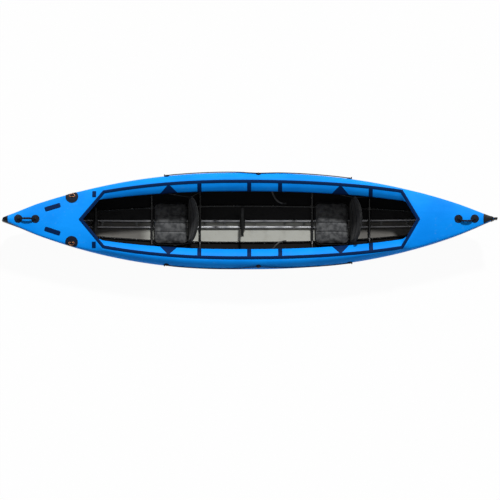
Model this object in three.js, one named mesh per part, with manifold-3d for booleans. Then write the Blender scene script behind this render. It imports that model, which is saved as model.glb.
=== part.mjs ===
// Two-seat folding kayak: coated fabric skins stretched over a take-apart tube frame,
// with an inflatable sponson along each side, two padded seats and sliding footrests.
// Lengths are in millimetres. +X points to the stern, +Y to starboard and +Z up,
// and the origin lies on the ground under the middle of the boat.

import * as THREE from 'three';
import { mergeVertices } from 'three/addons/utils/BufferGeometryUtils.js';
import Module from 'manifold-3d';

const wasm = await Module();
wasm.setup();

// Hull lines
const bowX = -2150;
const sternX = 2122;
const widestX = -84;
const halfBeam = 424;
const stemHalfWidth = 11;
const stemZone = 300;
const bowTaperPower = 2.2;
const sternTaperPower = 2.4;

// Keel line
const keelFlatBowX = -864;
const keelFlatSternX = 695;
const bowRocker = 125;
const sternRocker = 157;
const bowRockerPower = 2;
const sternRockerPower = 1.4;

// Highest line of the deck
const topHeight = 347;
const bowTopRise = 88;
const sternTopRise = 82;
const bowTopPower = 4.9;
const sternTopPower = 4;

// Seam between the hull skin and the deck skin, which ends a little below the deck at each stem
const seamHeight = 150;
const bowSeamDrop = 30;
const sternSeamDrop = 47;
const bowSeamRise = topHeight + bowTopRise - bowSeamDrop - seamHeight;
const sternSeamRise = topHeight + sternTopRise - sternSeamDrop - seamHeight;
const bowSeamPower = 3;
const sternSeamPower = 3.6;

// Stem profiles: how high the foremost point lies between keel and deck, as a share, and how
// far keel and deck lie behind it
const bowEnd = { x: bowX, noseShare: 0.51, rake: 109, setback: 52, inboard: 1 };
const sternEnd = { x: sternX, noseShare: 0.782, rake: 150, setback: 24, inboard: -1 };

// Cockpit opening
const bowTipX = -1479;
const sternTipX = 1485;
const bowTipSlopeShare = 1.2;
const sternTipSlopeShare = 1.72;
const stripWidth = 27;
const stripLineShare = 0.79;
const stripFlareShare = 0.11;
const stripFlarePower = 3;
const openingShare = 0.6;
const bandSlopeShare = 0.6;
const bandBulgeShare = 0.08;
const lipDepth = 14;
const lipFadeWidth = 110;

// Fabrics and clearances
const skinThickness = 2.4;
const trimThickness = 2;
const seatGap = 0.3;
const runningGap = 0.6;
const overrun = 5;
const simplifyTolerance = 0.06;
const straightTolerance = 0.2;

// Frame tubes
const gunwaleRadius = 12.5;
const stringerRadius = 9;
const keelsonRadius = 11;
const keelsonSpacing = 56;
const frameTubeRadius = 9;
const deckBarRadius = 10;
const deckBarClearance = 0.5;
const deckBarOverhang = 14;
const cornerShare = 1.05;
const tubeSides = 8;
const stringerSides = 6;
const clipWidth = 22;
const clipWall = 3.5;
const clipGripShare = 0.35;
const gunwaleGripShare = -0.6;
const clipClearance = 0.6;
const saddleLift = 1;
const cutSides = 6;
const frameBendReach = 34;
const bendSteps = 2;

// Stem plates
const plateHalfThickness = 4.5;
const plateClearance = 16;
const plateTopClearance = 4;
const plateAftX = [-1900, 1900];
const plateHoleRadius = 26;
const plateHoleInset = 70;
const armHeight = 28;
const armClearance = 1;
const plateStemAngles = [-75, -50, -25, 0, 25, 50, 75];
const plateOutlineSteps = 4;

// Places of the cross-frames and of the joints in the lengthwise tubes
const frameXs = [-1557, -855, -431, 556, 1059, 1578];
const tubeJointX = 40;
const keelsonBowX = -1680;
const keelsonJointBowX = -300;
const keelsonJointSternX = 400;
const keelsonSternX = 1700;
const joinXs = [-1930, 1930];
const joinZone = 240;

// Keelson fittings
const keelsonSides = 6;
const rungLength = 26;
const rungHeight = 8;
const rungLift = -2;
const rungInset = 85;
const frontRungCount = 5;
const middleRungCount = 3;
const rearRungCount = 6;
const spigotRadius = 7.5;
const spigotLength = 60;
const spigotClearance = 0.4;
const spigotEndGap = 2;
const buttonInset = 32;
const buttonRadius = 2.8;
const buttonHoleRadius = 3.3;
const buttonTravel = 3;
const buttonProud = 1.5;

// Sponsons
const sponsonGap = 2.6;
const sponsonColumns = [0, 1, 2, 3];
const sponsonFrameGap = 21;
const sponsonThinShare = 0.8;
const sponsonInnerSteps = 4;
const sponsonEndXs = [-1780, 1800];
const sponsonEndLength = 260;
const sponsonTipShare = 0.03;

// Seats, whose width follows the beam because they stand between the gunwales
const frontSeat = { frontX: -840, anchorX: -699, tieX: -431 };
const rearSeat = { frontX: 577, anchorX: 796, tieX: 1059 };
const seats = [{ name: 'front', ...frontSeat }, { name: 'rear', ...rearSeat }];
const seatWidthShare = 50 / 53;
const backrestWidth = seatWidthShare * halfBeam;
const cushionSideGap = 5;
const cushionLength = 305;
const cushionWidth = backrestWidth - 2 * cushionSideGap;
const cushionEdge = 36;
const cushionCrown = 24;
const cushionCorner = 60;
const cornerRoundShare = 0.8;
const drawnInShare = 0.035;
const footInset = 9;
const padPower = 6;
const cushionFootShares = [1, 0.5, 0, -0.5, -1];
const cushionChannelShares = [-0.42, 0, 0.42];
const channelWidthShare = 0.05;
const channelDepthShare = 0.35;
const cushionRings = 12;
const cushionSides = 14;
const hingeRadius = 15;
const hingeRise = 14;
const loopFrom = (-165 / 180) * Math.PI;
const loopTo = (-35 / 180) * Math.PI;
const loopSteps = 6;
const loopWidth = 30;
const loopPlace = 120;
const rollSteps = 6;
const backrestHeight = 345;
const backrestLean = 13;
const backrestWrap = 42;
const backrestRampHeight = 170;
const backrestRoundShare = 0.2;
const backEdgeShare = 0.5;
const backEdgeRampShare = 1 / 3;
const backEdgePower = 4;
const backTopShare = 0.7;
const backChannelShares = [0.34, 0.66];
const backrestRings = 12;
const backrestSteps = 7;
const strapWidth = 25;
const strapThickness = 1.6;
const strapHeightShare = 0.6;

// Footrests
const frontFootrestX = -1355;
const rearFootrestX = -58;
const saddleLength = 46;
const saddleRise = 8;
const saddleFootGap = 1.4;
const postLength = 14;
const postWidth = 40;
const footrestHeight = 110;
const footrestWidth = 250;
const footrestRadius = 13;

// Fittings on the deck: carrying handles, tow rings, gear patches and grab lines
const bowHandle = { frontX: -1998, rearX: -1851 };
const sternHandle = { frontX: 1816, rearX: 1955 };
const sternHandleAngle = 62;
const handles = [
  { name: 'bow_handle', ...bowHandle, flop: 0 },
  { name: 'stern_handle', ...sternHandle, flop: sternHandleAngle },
];
const discRadius = 36;
const discDepthShare = 0.45;
const discSides = 12;
const padThickness = 2;
const padRoot = 1;
const handleRadius = 5;
const handleRise = 25;
const handlePinLength = 14;
const handleArchSteps = 8;
const stapleWidth = 8;
const stapleWall = 2.5;
const towRingX = -1539;
const towRingShare = 25 / 53;
const towRingY = towRingShare * halfBeam;
const towPatchRadius = 55;
const ringWire = 2.5;
const ringRadius = 24;
const ringArcSteps = 8;
const ringStapleWidth = 12;
const wireSides = 6;
const gearPatchX = -1704;
const gearPatchY = 104;
const gearPatchLength = 140;
const gearPatchWidth = 40;
const grabRadius = 4;
const grabTail = 16;
const grabPadRadius = 22;
const grabStapleWidth = 9;
const grabLinePoints = [
  { x: -716, riseShare: 0.688 }, { x: -600, riseShare: 0.658 }, { x: -300, riseShare: 0.659 },
  { x: -100, riseShare: 0.716 }, { x: -20, riseShare: 0.777 }, { x: 82, riseShare: 0.807 },
  { x: 160, riseShare: 0.787 }, { x: 300, riseShare: 0.725 }, { x: 500, riseShare: 0.676 },
  { x: 700, riseShare: 0.625 }, { x: 874, riseShare: 0.586 },
];
const grabFixings = [0, 5, 10];

// Tabs and straps that are welded to the strip round the cockpit
const tieXs = [-431, 2, 271, 1059];
const tieWidth = 35;
const anchorHalfLength = 99;
const anchorTipReach = 10;
const tabX = -1345;
const tabWidth = 34;
const tabFromY = 150;
const tabToY = 243;

// Inflation hose of each sponson
const hoseX = 200;
const hoseRadius = 8;
const hoseFlangeRadius = 24;
const hoseFlangeThickness = 3;
const hoseForwardShares = [0, 0.02, 0.3, 0.68, 1];
const hoseInwardShares = [0, 0.3, 0.72, 0.96, 1];
const hoseDropShares = [0, 0.06, 0.86, 0.98, 1];
const hoseReachX = 110;
const hoseReachY = 130;
const hoseDrop = 72;
const hoseGap = 0.9;
const hoseCollarRadius = 11;
const hoseCollarLength = 16;
const capRadius = 12;
const capLength = 18;
const capWall = 3;

// Rudder bracket on the stern
const bracketFrontX = 2047;
const bracketCheekX = 2098;
const bracketAftX = 2150;
const bracketNoseDrop = 4;
const bracketTopRise = 5;
const bracketWall = 3;
const bracketCheekWall = 5;
const bracketHalfWidth = 8;
const pintleRadius = 4;
const pintleInset = 11;

// Colours
const deckBlue = 0x1490f5;
const trimBlack = 0x06182f;
const hullBlack = 0x151617;
const fabricBlack = 0x1c1d1f;
const tubeSilver = 0xb9bcc0;
const plasticBlack = 0x17181a;
const lineBlack = 0x101113;
const ringBronze = 0x9a6a42;

const kayak = new THREE.Group();
const fabricLook = { roughness: 0.45, metalness: 0 };
const metalLook = { roughness: 0.3, metalness: 1 };
const plasticLook = { roughness: 0.55, metalness: 0 };
const paddingLook = { roughness: 0.9, metalness: 0 };

function addPiece(name, geometry, color, look) {
  const material = new THREE.MeshStandardMaterial({ color, ...look });
  const mesh = new THREE.Mesh(geometry, material);
  mesh.name = name;
  kayak.add(mesh);
  return mesh;
}

// Solids and booleans
function toSolid(geometry) {
  const bare = geometry.clone();
  for (const attribute of Object.keys(bare.attributes)) {
    if (attribute !== 'position') bare.deleteAttribute(attribute);
  }
  const merged = mergeVertices(bare, 1e-4);
  const vertProperties = new Float32Array(merged.attributes.position.array);
  const triVerts = new Uint32Array(merged.index.array);
  return new wasm.Manifold(new wasm.Mesh({ numProp: 3, vertProperties, triVerts }));
}

function toGeometry(solid) {
  const mesh = solid.asOriginal().simplify(simplifyTolerance).getMesh();
  const geometry = new THREE.BufferGeometry();
  geometry.setAttribute('position', new THREE.BufferAttribute(new Float32Array(mesh.vertProperties), 3));
  geometry.setIndex(new THREE.BufferAttribute(new Uint32Array(mesh.triVerts), 1));
  return geometry;
}

function joined(...geometries) {
  const solids = geometries.map(toSolid);
  return toGeometry(solids.reduce((sum, next) => sum.add(next)));
}

function cutBy(geometry, cutters) {
  return toGeometry(cutters.map(toSolid).reduce((rest, cutter) => rest.subtract(cutter), toSolid(geometry)));
}

function common(geometry, other) {
  return toGeometry(toSolid(geometry).intersect(toSolid(other)));
}

// A closed solid through rings with equally many points
function loft(rings) {
  const sides = rings[0].length;
  const positions = rings.flat().flatMap((p) => [p.x, p.y, p.z]);
  const indices = [];
  for (let i = 0; i + 1 < rings.length; i += 1) {
    for (let j = 0; j < sides; j += 1) {
      const a = i * sides + j;
      const b = i * sides + ((j + 1) % sides);
      indices.push(a, b, b + sides, a, b + sides, a + sides);
    }
  }
  for (const [ring, turn] of [[0, -1], [rings.length - 1, 1]]) {
    const centre = new THREE.Vector3();
    rings[ring].forEach((p) => centre.addScaledVector(p, 1 / sides));
    positions.push(centre.x, centre.y, centre.z);
    const hub = positions.length / 3 - 1;
    for (let j = 0; j < sides; j += 1) {
      const a = ring * sides + j;
      const b = ring * sides + ((j + 1) % sides);
      indices.push(...(turn > 0 ? [a, b, hub] : [b, a, hub]));
    }
  }
  const geometry = new THREE.BufferGeometry();
  geometry.setAttribute('position', new THREE.Float32BufferAttribute(positions, 3));
  geometry.setIndex(indices);
  return facingOut(geometry);
}

function facingOut(geometry) {
  const p = geometry.attributes.position;
  const index = Array.from(geometry.index.array);
  const corner = (k) => new THREE.Vector3().fromBufferAttribute(p, index[k]);
  let volume = 0;
  for (let k = 0; k < index.length; k += 3) volume += corner(k).dot(corner(k + 1).cross(corner(k + 2)));
  if (volume < 0) geometry.setIndex(index.reverse());
  return geometry;
}

// A round bar through points that run mostly along X, with its rings square to X
function barAlong(centres, radius, sides = tubeSides) {
  return loft(centres.map((centre) => ringAt(centre, radius, sides)));
}

function ringAt(centre, radius, sides) {
  return Array.from({ length: sides }, (_, k) => {
    const angle = ((k + 0.5) / sides) * 2 * Math.PI;
    return new THREE.Vector3(centre.x, centre.y + radius * Math.cos(angle), centre.z + radius * Math.sin(angle));
  });
}

// A round cutter or pin between two points; its flats, not its corners, touch the stated radius
function pinBetween(start, end, radius, sides = cutSides) {
  const along = end.clone().sub(start);
  const geometry = new THREE.CylinderGeometry(radius, radius, along.length(), sides);
  const turn = new THREE.Quaternion().setFromUnitVectors(new THREE.Vector3(0, 1, 0), along.clone().normalize());
  geometry.applyQuaternion(turn);
  geometry.translate(...start.clone().add(end).multiplyScalar(0.5).toArray());
  return geometry;
}

function circumscribed(radius, sides = cutSides) {
  return radius / Math.cos(Math.PI / sides);
}

// A round tube through points, whose rings are carried along without twist
function tubeThrough(points, radius, sides = tubeSides) {
  const directions = points.slice(1).map((point, i) => point.clone().sub(points[i]).normalize());
  const tangents = points.map((_, i) => {
    return directions[Math.max(i - 1, 0)].clone().add(directions[Math.min(i, directions.length - 1)]).normalize();
  });
  const runsAlongX = Math.abs(tangents[0].x) > Math.SQRT1_2;
  const up = runsAlongX ? new THREE.Vector3(0, 0, 1) : new THREE.Vector3(1, 0, 0);
  return loft(points.map((point, i) => {
    up.addScaledVector(tangents[i], -up.dot(tangents[i])).normalize();
    const across = tangents[i].clone().cross(up);
    return circleOutline(radius, sides).map(([right, rise]) => {
      return point.clone().addScaledVector(across, right).addScaledVector(up, rise);
    });
  }));
}

function circleOutline(radius, sides = tubeSides) {
  return Array.from({ length: sides }, (_, k) => {
    const angle = ((k + 0.5) / sides) * 2 * Math.PI;
    return [radius * Math.cos(angle), radius * Math.sin(angle)];
  });
}

// Lines of the boat as functions of the place along its length
const clamp = THREE.MathUtils.clamp;
const mix = THREE.MathUtils.lerp;

function towardsBow(x) {
  return clamp((widestX - x) / (widestX - bowX), 0, 1);
}

function towardsStern(x) {
  return clamp((x - widestX) / (sternX - widestX), 0, 1);
}

function beamAt(x) {
  const taper = x < widestX ? towardsBow(x) ** bowTaperPower : towardsStern(x) ** sternTaperPower;
  return mix(halfBeam, stemHalfWidth, taper);
}

function keelAt(x) {
  const bow = clamp((keelFlatBowX - x) / (keelFlatBowX - bowX), 0, 1);
  const stern = clamp((x - keelFlatSternX) / (sternX - keelFlatSternX), 0, 1);
  return bowRocker * bow ** bowRockerPower + sternRocker * stern ** sternRockerPower;
}

function seamAt(x) {
  return seamHeight + bowSeamRise * towardsBow(x) ** bowSeamPower + sternSeamRise * towardsStern(x) ** sternSeamPower;
}

function topAt(x) {
  return topHeight + bowTopRise * towardsBow(x) ** bowTopPower + sternTopRise * towardsStern(x) ** sternTopPower;
}

// A point on the stem's profile, from the keel at -90 degrees to the deck at 90
function stemPoint(end, angleDegrees) {
  const angle = THREE.MathUtils.degToRad(angleDegrees);
  const back = (angle < 0 ? end.rake : end.setback) * (1 - Math.cos(angle));
  const keelEnd = keelAt(end.x + end.inboard * end.rake);
  const deckEnd = topAt(end.x + end.inboard * end.setback);
  const noseZ = mix(keelEnd, deckEnd, end.noseShare);
  const reach = angle < 0 ? noseZ - keelEnd : deckEnd - noseZ;
  return { x: end.x + end.inboard * back, z: noseZ + reach * Math.sin(angle) };
}

// Plan of the cockpit: the strip's outer and inner edge and the opening's edge
const stripSlant = (slope) => stripWidth * Math.hypot(1, 1 / slope);

function withinTips(x, inset, sideWidth) {
  const bow = (x - bowTipX - inset * stripSlant(bowTipSlopeShare)) * bowTipSlopeShare;
  const stern = (sternTipX - inset * stripSlant(sternTipSlopeShare) - x) * sternTipSlopeShare;
  return Math.max(0, Math.min(bow, sideWidth, stern));
}

function stripLineAt(x) {
  const flare = clamp(x / sternTipX, 0, 1) ** stripFlarePower;
  return beamAt(x) * (stripLineShare + stripFlareShare * flare);
}

const stripOuterAt = (x) => withinTips(x, 0, stripLineAt(x) + stripWidth / 2);
const stripInnerAt = (x) => withinTips(x, 1, stripLineAt(x) - stripWidth / 2);
const openingAt = (x) => Math.min(stripInnerAt(x), openingShare * beamAt(x));

function bandHeightAt(x, y) {
  return topAt(x) - bandSlopeShare * (stripInnerAt(x) - y);
}

// Lengthwise lines of the hull skin from the keel to the seam, as shares of the half beam
// and of the height from keel to seam; the flat bottom turns into a shallow V towards the stems
const chineShare = 0.39;
const chineEndShare = 0.5;
const chineRiseShare = 0.14;
const hullLines = [
  { name: 'keel', beamShare: 0, heightShare: 0, stemAngle: -90 },
  { name: 'chine', beamShare: chineShare, heightShare: 0, stemAngle: -62 },
  { name: 'side', beamShare: 0.78, heightShare: 0.5, stemAngle: -25 },
  { name: 'bilge', beamShare: 0.89, heightShare: 0.71, stemAngle: 0 },
  { name: 'seam', beamShare: 0.962, heightShare: 1, stemAngle: 55 },
];

const fineness = (x) => Math.max(towardsBow(x), towardsStern(x)) ** 3;

// Lengthwise lines of the deck skin from the seam to the shoulder
const deckSideLines = [
  { name: 'seam', beamShare: 0.962, heightShare: 0, stemAngle: 55 },
  { name: 'beam', beamShare: 1, heightShare: 0.42, stemAngle: 65 },
  { name: 'upper', beamShare: 0.985, heightShare: 0.7, stemAngle: 73 },
  { name: 'shoulder', beamShare: 0.943, heightShare: 0.85, stemAngle: 78 },
];
const deckTopShares = [1 / 3, 2 / 3];
const deckTopAngles = [83, 87];
const seamStep = 0.3;

function placed(x, width, height, stemAngle, lift = 0) {
  const end = x < widestX ? bowEnd : sternEnd;
  const near = clamp(1 - Math.abs(x - end.x) / stemZone, 0, 1);
  const stem = stemPoint(end, stemAngle);
  const lineX = x + (stem.x - end.x) * near;
  const lineZ = height(lineX) + (stem.z - height(stem.x)) * near ** 2;
  return new THREE.Vector3(lineX, width, lineZ + lift);
}

function hullRow(x) {
  return hullLines.map((line) => {
    const chine = line.name === 'chine';
    const lift = line.name === 'seam' ? -seamStep : 0;
    const widthShare = chine ? mix(line.beamShare, chineEndShare, fineness(x)) : line.beamShare;
    const riseShare = (at) => (chine ? chineRiseShare * fineness(at) : line.heightShare);
    const height = (at) => mix(keelAt(at), seamAt(at), riseShare(at));
    return placed(x, widthShare * beamAt(x), height, line.stemAngle, lift);
  });
}

function deckRow(x) {
  const beam = beamAt(x);
  const row = deckSideLines.map((line) => {
    const lift = line.name === 'seam' ? seamStep : 0;
    const height = (at) => mix(seamAt(at), topAt(at), line.heightShare);
    return placed(x, line.beamShare * beam, height, line.stemAngle, lift);
  });
  const shoulder = deckSideLines.at(-1);
  const outer = stripOuterAt(x);
  deckTopShares.forEach((share, k) => {
    const rise = mix(shoulder.heightShare, 1, 1 - (1 - share) ** 2);
    const height = (at) => mix(seamAt(at), topAt(at), rise);
    row.push(placed(x, mix(shoulder.beamShare * beam, outer, share), height, deckTopAngles[k]));
  });
  const inner = stripInnerAt(x);
  const edge = openingAt(x);
  const bandCentre = (inner + edge) / 2;
  const bandBulge = bandBulgeShare * (inner - edge);
  const lip = lipDepth * clamp(edge / lipFadeWidth, 0, 1);
  row.push(placed(x, outer, topAt, 90));
  row.push(placed(x, inner, topAt, 90));
  row.push(placed(x, bandCentre, (at) => bandHeightAt(at, bandCentre) + bandBulge, 90));
  row.push(placed(x, edge, (at) => bandHeightAt(at, edge), 90));
  row.push(placed(x, edge, (at) => bandHeightAt(at, edge) - lip, 90));
  return row;
}

const stripColumn = deckSideLines.length + deckTopShares.length;
const bandColumns = [stripColumn + 1, stripColumn + 2];

// Stations: closer together towards the stems, with one at each frame and each corner of the strip
const stationCount = 22;
const stationSpace = 26;
const crossingSteps = 40;
const sideTolerance = 1e-6;

function stationsWith(features) {
  const spaced = Array.from({ length: stationCount + 1 }, (_, i) => {
    return mix(bowX, sternX, (1 - Math.cos((Math.PI * i) / stationCount)) / 2);
  });
  const kept = spaced.filter((x, i) => {
    const atStem = i === 0 || i === stationCount;
    return atStem || features.every((feature) => Math.abs(feature - x) > stationSpace);
  });
  return [...kept, ...features].sort((a, b) => a - b);
}

function crossing(fromX, toX, difference) {
  let low = fromX;
  let high = toX;
  for (let i = 0; i < crossingSteps; i += 1) {
    const middle = (low + high) / 2;
    if (difference(middle) * difference(low) > 0) low = middle;
    else high = middle;
  }
  return (low + high) / 2;
}

const sideLimit = (x) => stripLineAt(x) + stripWidth / 2 - stripOuterAt(x);
const bowCornerX = crossing(bowTipX, 0, (x) => sideLimit(x) - sideTolerance);
const sternCornerX = crossing(sternTipX, 0, (x) => sideLimit(x) - sideTolerance);
const bowInnerTipX = bowTipX + stripSlant(bowTipSlopeShare);
const sternInnerTipX = sternTipX - stripSlant(sternTipSlopeShare);
const cockpitFeatures = [bowTipX, bowInnerTipX, bowCornerX, sternCornerX, sternInnerTipX, sternTipX];
const stations = stationsWith([...frameXs, ...cockpitFeatures, bracketFrontX]);

// A sheet of triangles with shared corners, which shells of fabric are grown from
class Sheet {
  constructor() {
    this.points = [];
    this.keys = new Map();
    this.faces = [];
    this.seam = new Set();
  }

  corner(point) {
    const key = point.toArray().map((value) => Math.round(value * 1000)).join(' ');
    if (!this.keys.has(key)) {
      this.keys.set(key, this.points.length);
      this.points.push(point.clone());
    }
    return this.keys.get(key);
  }

  quad(a, b, c, d, tag) {
    const shortWay = a.distanceTo(c) <= b.distanceTo(d) + seatGap;
    const halves = shortWay ? [[a, b, c], [a, c, d]] : [[a, b, d], [b, c, d]];
    for (const half of halves) {
      const corners = half.map((point) => this.corner(point));
      if (new Set(corners).size === 3) this.faces.push({ corners, tag });
    }
  }

  normals() {
    const sums = this.points.map(() => new THREE.Vector3());
    for (const { corners } of this.faces) {
      const [a, b, c] = corners.map((k) => this.points[k]);
      const normal = b.clone().sub(a).cross(c.clone().sub(a)).normalize();
      const angles = [[a, b, c], [b, c, a], [c, a, b]].map(([p, q, r]) => q.clone().sub(p).angleTo(r.clone().sub(p)));
      corners.forEach((k, i) => sums[k].addScaledVector(normal, angles[i]));
    }
    this.seam.forEach((k) => sums[k].setZ(0));
    return sums.map((sum) => sum.normalize());
  }
}

// The closed solid between two offsets of a sheet, with walls along its free edges
function shell(sheet, low, high, keep = () => true) {
  const normals = sheet.normals();
  const faces = sheet.faces.filter((face) => keep(face.tag));
  const used = [...new Set(faces.flatMap((face) => face.corners))];
  const rank = new Map(used.map((corner, k) => [corner, k]));
  const positions = [];
  for (const offset of [high, low]) {
    for (const corner of used) {
      positions.push(...sheet.points[corner].clone().addScaledVector(normals[corner], offset).toArray());
    }
  }
  const indices = [];
  const edges = new Map();
  for (const { corners } of faces) {
    const [a, b, c] = corners.map((corner) => rank.get(corner));
    indices.push(a, b, c, a + used.length, c + used.length, b + used.length);
    for (const [from, to] of [[a, b], [b, c], [c, a]]) edges.set(`${from} ${to}`, [from, to]);
  }
  for (const [from, to] of edges.values()) {
    if (!edges.has(`${to} ${from}`)) {
      indices.push(to, from, from + used.length, to, from + used.length, to + used.length);
    }
  }
  const geometry = new THREE.BufferGeometry();
  geometry.setAttribute('position', new THREE.Float32BufferAttribute(positions, 3));
  geometry.setIndex(indices);
  return geometry;
}

const mirrored = (point) => new THREE.Vector3(point.x, -point.y, point.z);

// Sheet over both sides of the boat and round both stems; its edge along the seam is level,
// so that the two skins meet edge to edge
function boatSheet(rows, seamColumn) {
  const sheet = new Sheet();
  for (const point of rows.map((row) => row[seamColumn])) {
    sheet.seam.add(sheet.corner(point));
    sheet.seam.add(sheet.corner(mirrored(point)));
  }
  for (let i = 0; i + 1 < rows.length; i += 1) {
    for (let j = 0; j + 1 < rows[i].length; j += 1) {
      const corners = [rows[i][j], rows[i + 1][j], rows[i + 1][j + 1], rows[i][j + 1]];
      const tag = { column: j, from: stations[i], to: stations[i + 1] };
      sheet.quad(...[...corners].reverse(), tag);
      sheet.quad(...corners.map(mirrored), tag);
    }
  }
  for (const [row, x] of [[rows[0], bowX], [rows.at(-1), sternX]]) {
    for (let j = 0; j + 1 < row.length; j += 1) {
      const corners = [mirrored(row[j]), row[j], row[j + 1], mirrored(row[j + 1])];
      const outward = x === bowX ? corners.reverse() : corners;
      sheet.quad(...outward, { column: j, stem: true, from: x, to: x });
    }
  }
  return sheet;
}

// Picks the faces of a sheet over a stretch of the boat's length
const alongBoat = (fromX, toX) => (tag) => tag.from < toX && tag.to > fromX;

const hullRows = stations.map(hullRow);
const deckRows = stations.map(deckRow);
const hullSheet = boatSheet(hullRows, hullLines.length - 1);
const deckSheet = boatSheet(deckRows, 0);
const hullNormals = hullSheet.normals();
const deckNormals = deckSheet.normals();

// The point that lies a given depth inside one of the skins
function insideHull(point, depth) {
  return point.clone().addScaledVector(hullNormals[hullSheet.corner(point)], -depth);
}

function insideDeck(point, depth) {
  return point.clone().addScaledVector(deckNormals[deckSheet.corner(point)], -depth);
}

// Hull skin
addPiece('hull_skin', shell(hullSheet, -skinThickness, 0), hullBlack, fabricLook);

// Places on the deck skin: a spot is a point with the outward normal there
const sides = [['port', -1], ['starboard', 1]];
const vec = (x, y, z) => new THREE.Vector3(x, y, z);
const onSide = (point, side) => vec(point.x, point.y * side, point.z);

function deckSpot(x, y) {
  const ray = new THREE.Ray(vec(x, y, 2 * topHeight), vec(0, 0, -1));
  const hits = deckSheet.faces.flatMap(({ corners }) => {
    const [a, b, c] = corners.map((corner) => deckSheet.points[corner]);
    const point = ray.intersectTriangle(a, b, c, false, vec(0, 0, 0));
    return point ? [{ point, normal: b.clone().sub(a).cross(c.clone().sub(a)).normalize() }] : [];
  });
  return hits.reduce((best, hit) => (hit.point.z > best.point.z ? hit : best));
}

// The spot on the starboard side of the deck skin at a share of the height from seam to top
function deckSideSpot({ x, riseShare }) {
  const height = mix(seamAt(x), topAt(x), riseShare);
  const profile = deckSideLines.map((_, j) => interpolated((k) => deckRows[k][j].clone(), x));
  const j = clamp(profile.findIndex((point) => point.z > height), 1, profile.length - 1);
  const rise = profile[j].clone().sub(profile[j - 1]);
  const point = profile[j - 1].clone().addScaledVector(rise, (height - profile[j - 1].z) / rise.z);
  return { point, normal: vec(0, rise.z, -rise.y).normalize() };
}

const mirroredSpot = ({ point, normal }, side) => ({ point: onSide(point, side), normal: onSide(normal, side) });

// Moves what is made on the XY plane onto a spot, with its X axis towards the stern
function seated(geometry, { point, normal }) {
  const x = vec(1, 0, 0).addScaledVector(normal, -normal.x).normalize();
  const y = normal.clone().cross(x);
  const matrix = new THREE.Matrix4().makeBasis(x, y, normal).setPosition(point);
  return geometry.clone().applyMatrix4(matrix);
}

function interpolated(at, x) {
  const k = clamp(stations.findIndex((station) => station >= x), 1, stations.length - 1);
  const share = (x - stations[k - 1]) / (stations[k] - stations[k - 1]);
  return at(k - 1).lerp(at(k), share);
}

// A layer over part of the deck skin: what a cutter keeps of a shell
function deckLayer(low, high, cutter) {
  cutter.computeBoundingBox();
  const { min, max } = cutter.boundingBox;
  return common(shell(deckSheet, low, high, alongBoat(min.x - stationSpace, max.x + stationSpace)), cutter);
}

function discOn(spot, radius, low, high, rimSides = discSides) {
  const reach = radius * discDepthShare;
  const ends = [-reach, reach].map((depth) => spot.point.clone().addScaledVector(spot.normal, depth));
  return deckLayer(low, high, pinBetween(...ends, radius, rimSides));
}

// A staple that holds a pin of the given radius along its local X axis, and the hole for that pin
function staple(width, pinRadius, pinHeight, clearance) {
  const hole = pinRadius + clearance;
  const height = pinHeight + hole + stapleWall + padRoot;
  const block = new THREE.BoxGeometry(width, 2 * (hole + stapleWall), height);
  block.translate(0, 0, height / 2 - padRoot);
  const ends = [-width, width].map((along) => vec(along, 0, pinHeight));
  return { block, hole: pinBetween(...ends, circumscribed(hole)) };
}

function stapledOnto(base, spots, { block, hole }) {
  const blocks = spots.map((spot) => seated(block, spot));
  return cutBy(joined(base, ...blocks), spots.map((spot) => seated(hole, spot)));
}

// Deck skin, with the discs and staples that hold the carrying handles and the grab lines
const handlePinHeight = padThickness + runningGap + handleRadius;
const grabPinHeight = padThickness + runningGap + grabRadius;

function handleSpots({ frontX, rearX }) {
  const [front, rear] = [frontX, rearX].map((x) => deckSpot(x, 0).point);
  const along = rear.clone().sub(front).normalize();
  const normal = vec(-along.z, 0, along.x);
  return { front, rear, along, normal, middle: front.clone().lerp(rear, 0.5) };
}

function deckSkin() {
  const discs = [];
  const handleFeet = [];
  for (const handle of handles) {
    const { front, rear, normal } = handleSpots(handle);
    for (const point of [front, rear]) {
      discs.push(discOn({ point, normal }, discRadius, -padRoot, padThickness));
      handleFeet.push({ point, normal });
    }
  }
  const grabFeet = grabFixings.flatMap((k) => {
    const spot = deckSideSpot(grabLinePoints[k]);
    return sides.map(([, side]) => mirroredSpot(spot, side));
  });
  for (const spot of grabFeet) discs.push(discOn(spot, grabPadRadius, -padRoot, padThickness, tubeSides));
  const skin = joined(shell(deckSheet, -skinThickness, 0), ...discs);
  const handleStaple = staple(stapleWidth, handleRadius, handlePinHeight, runningGap);
  const grabStaple = staple(grabStapleWidth, grabRadius, grabPinHeight, runningGap);
  return stapledOnto(stapledOnto(skin, handleFeet, handleStaple), grabFeet, grabStaple);
}
addPiece('deck_skin', deckSkin(), deckBlue, fabricLook);

// Carrying handles: an arched bail whose straight ends turn in the staples
function bail(handle) {
  const { front, rear, middle, normal } = handleSpots(handle);
  const half = front.distanceTo(rear) / 2;
  const foot = half - handlePinLength / 2;
  const arch = Array.from({ length: handleArchSteps + 1 }, (_, i) => {
    const angle = Math.PI * (i / handleArchSteps);
    return vec(-foot * Math.cos(angle), 0, handleRise * Math.sin(angle));
  });
  const end = vec(half + handlePinLength / 2, 0, 0);
  const tube = tubeThrough([end.clone().negate(), ...arch, end], handleRadius);
  tube.rotateX(THREE.MathUtils.degToRad(handle.flop)).translate(0, 0, handlePinHeight);
  return seated(tube, { point: middle, normal });
}
for (const handle of handles) addPiece(handle.name, bail(handle), plasticBlack, plasticLook);

// Tow rings: a wire ring in a staple on a round patch at each shoulder of the fore deck
const ringPinHeight = padThickness + runningGap + ringWire;

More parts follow.
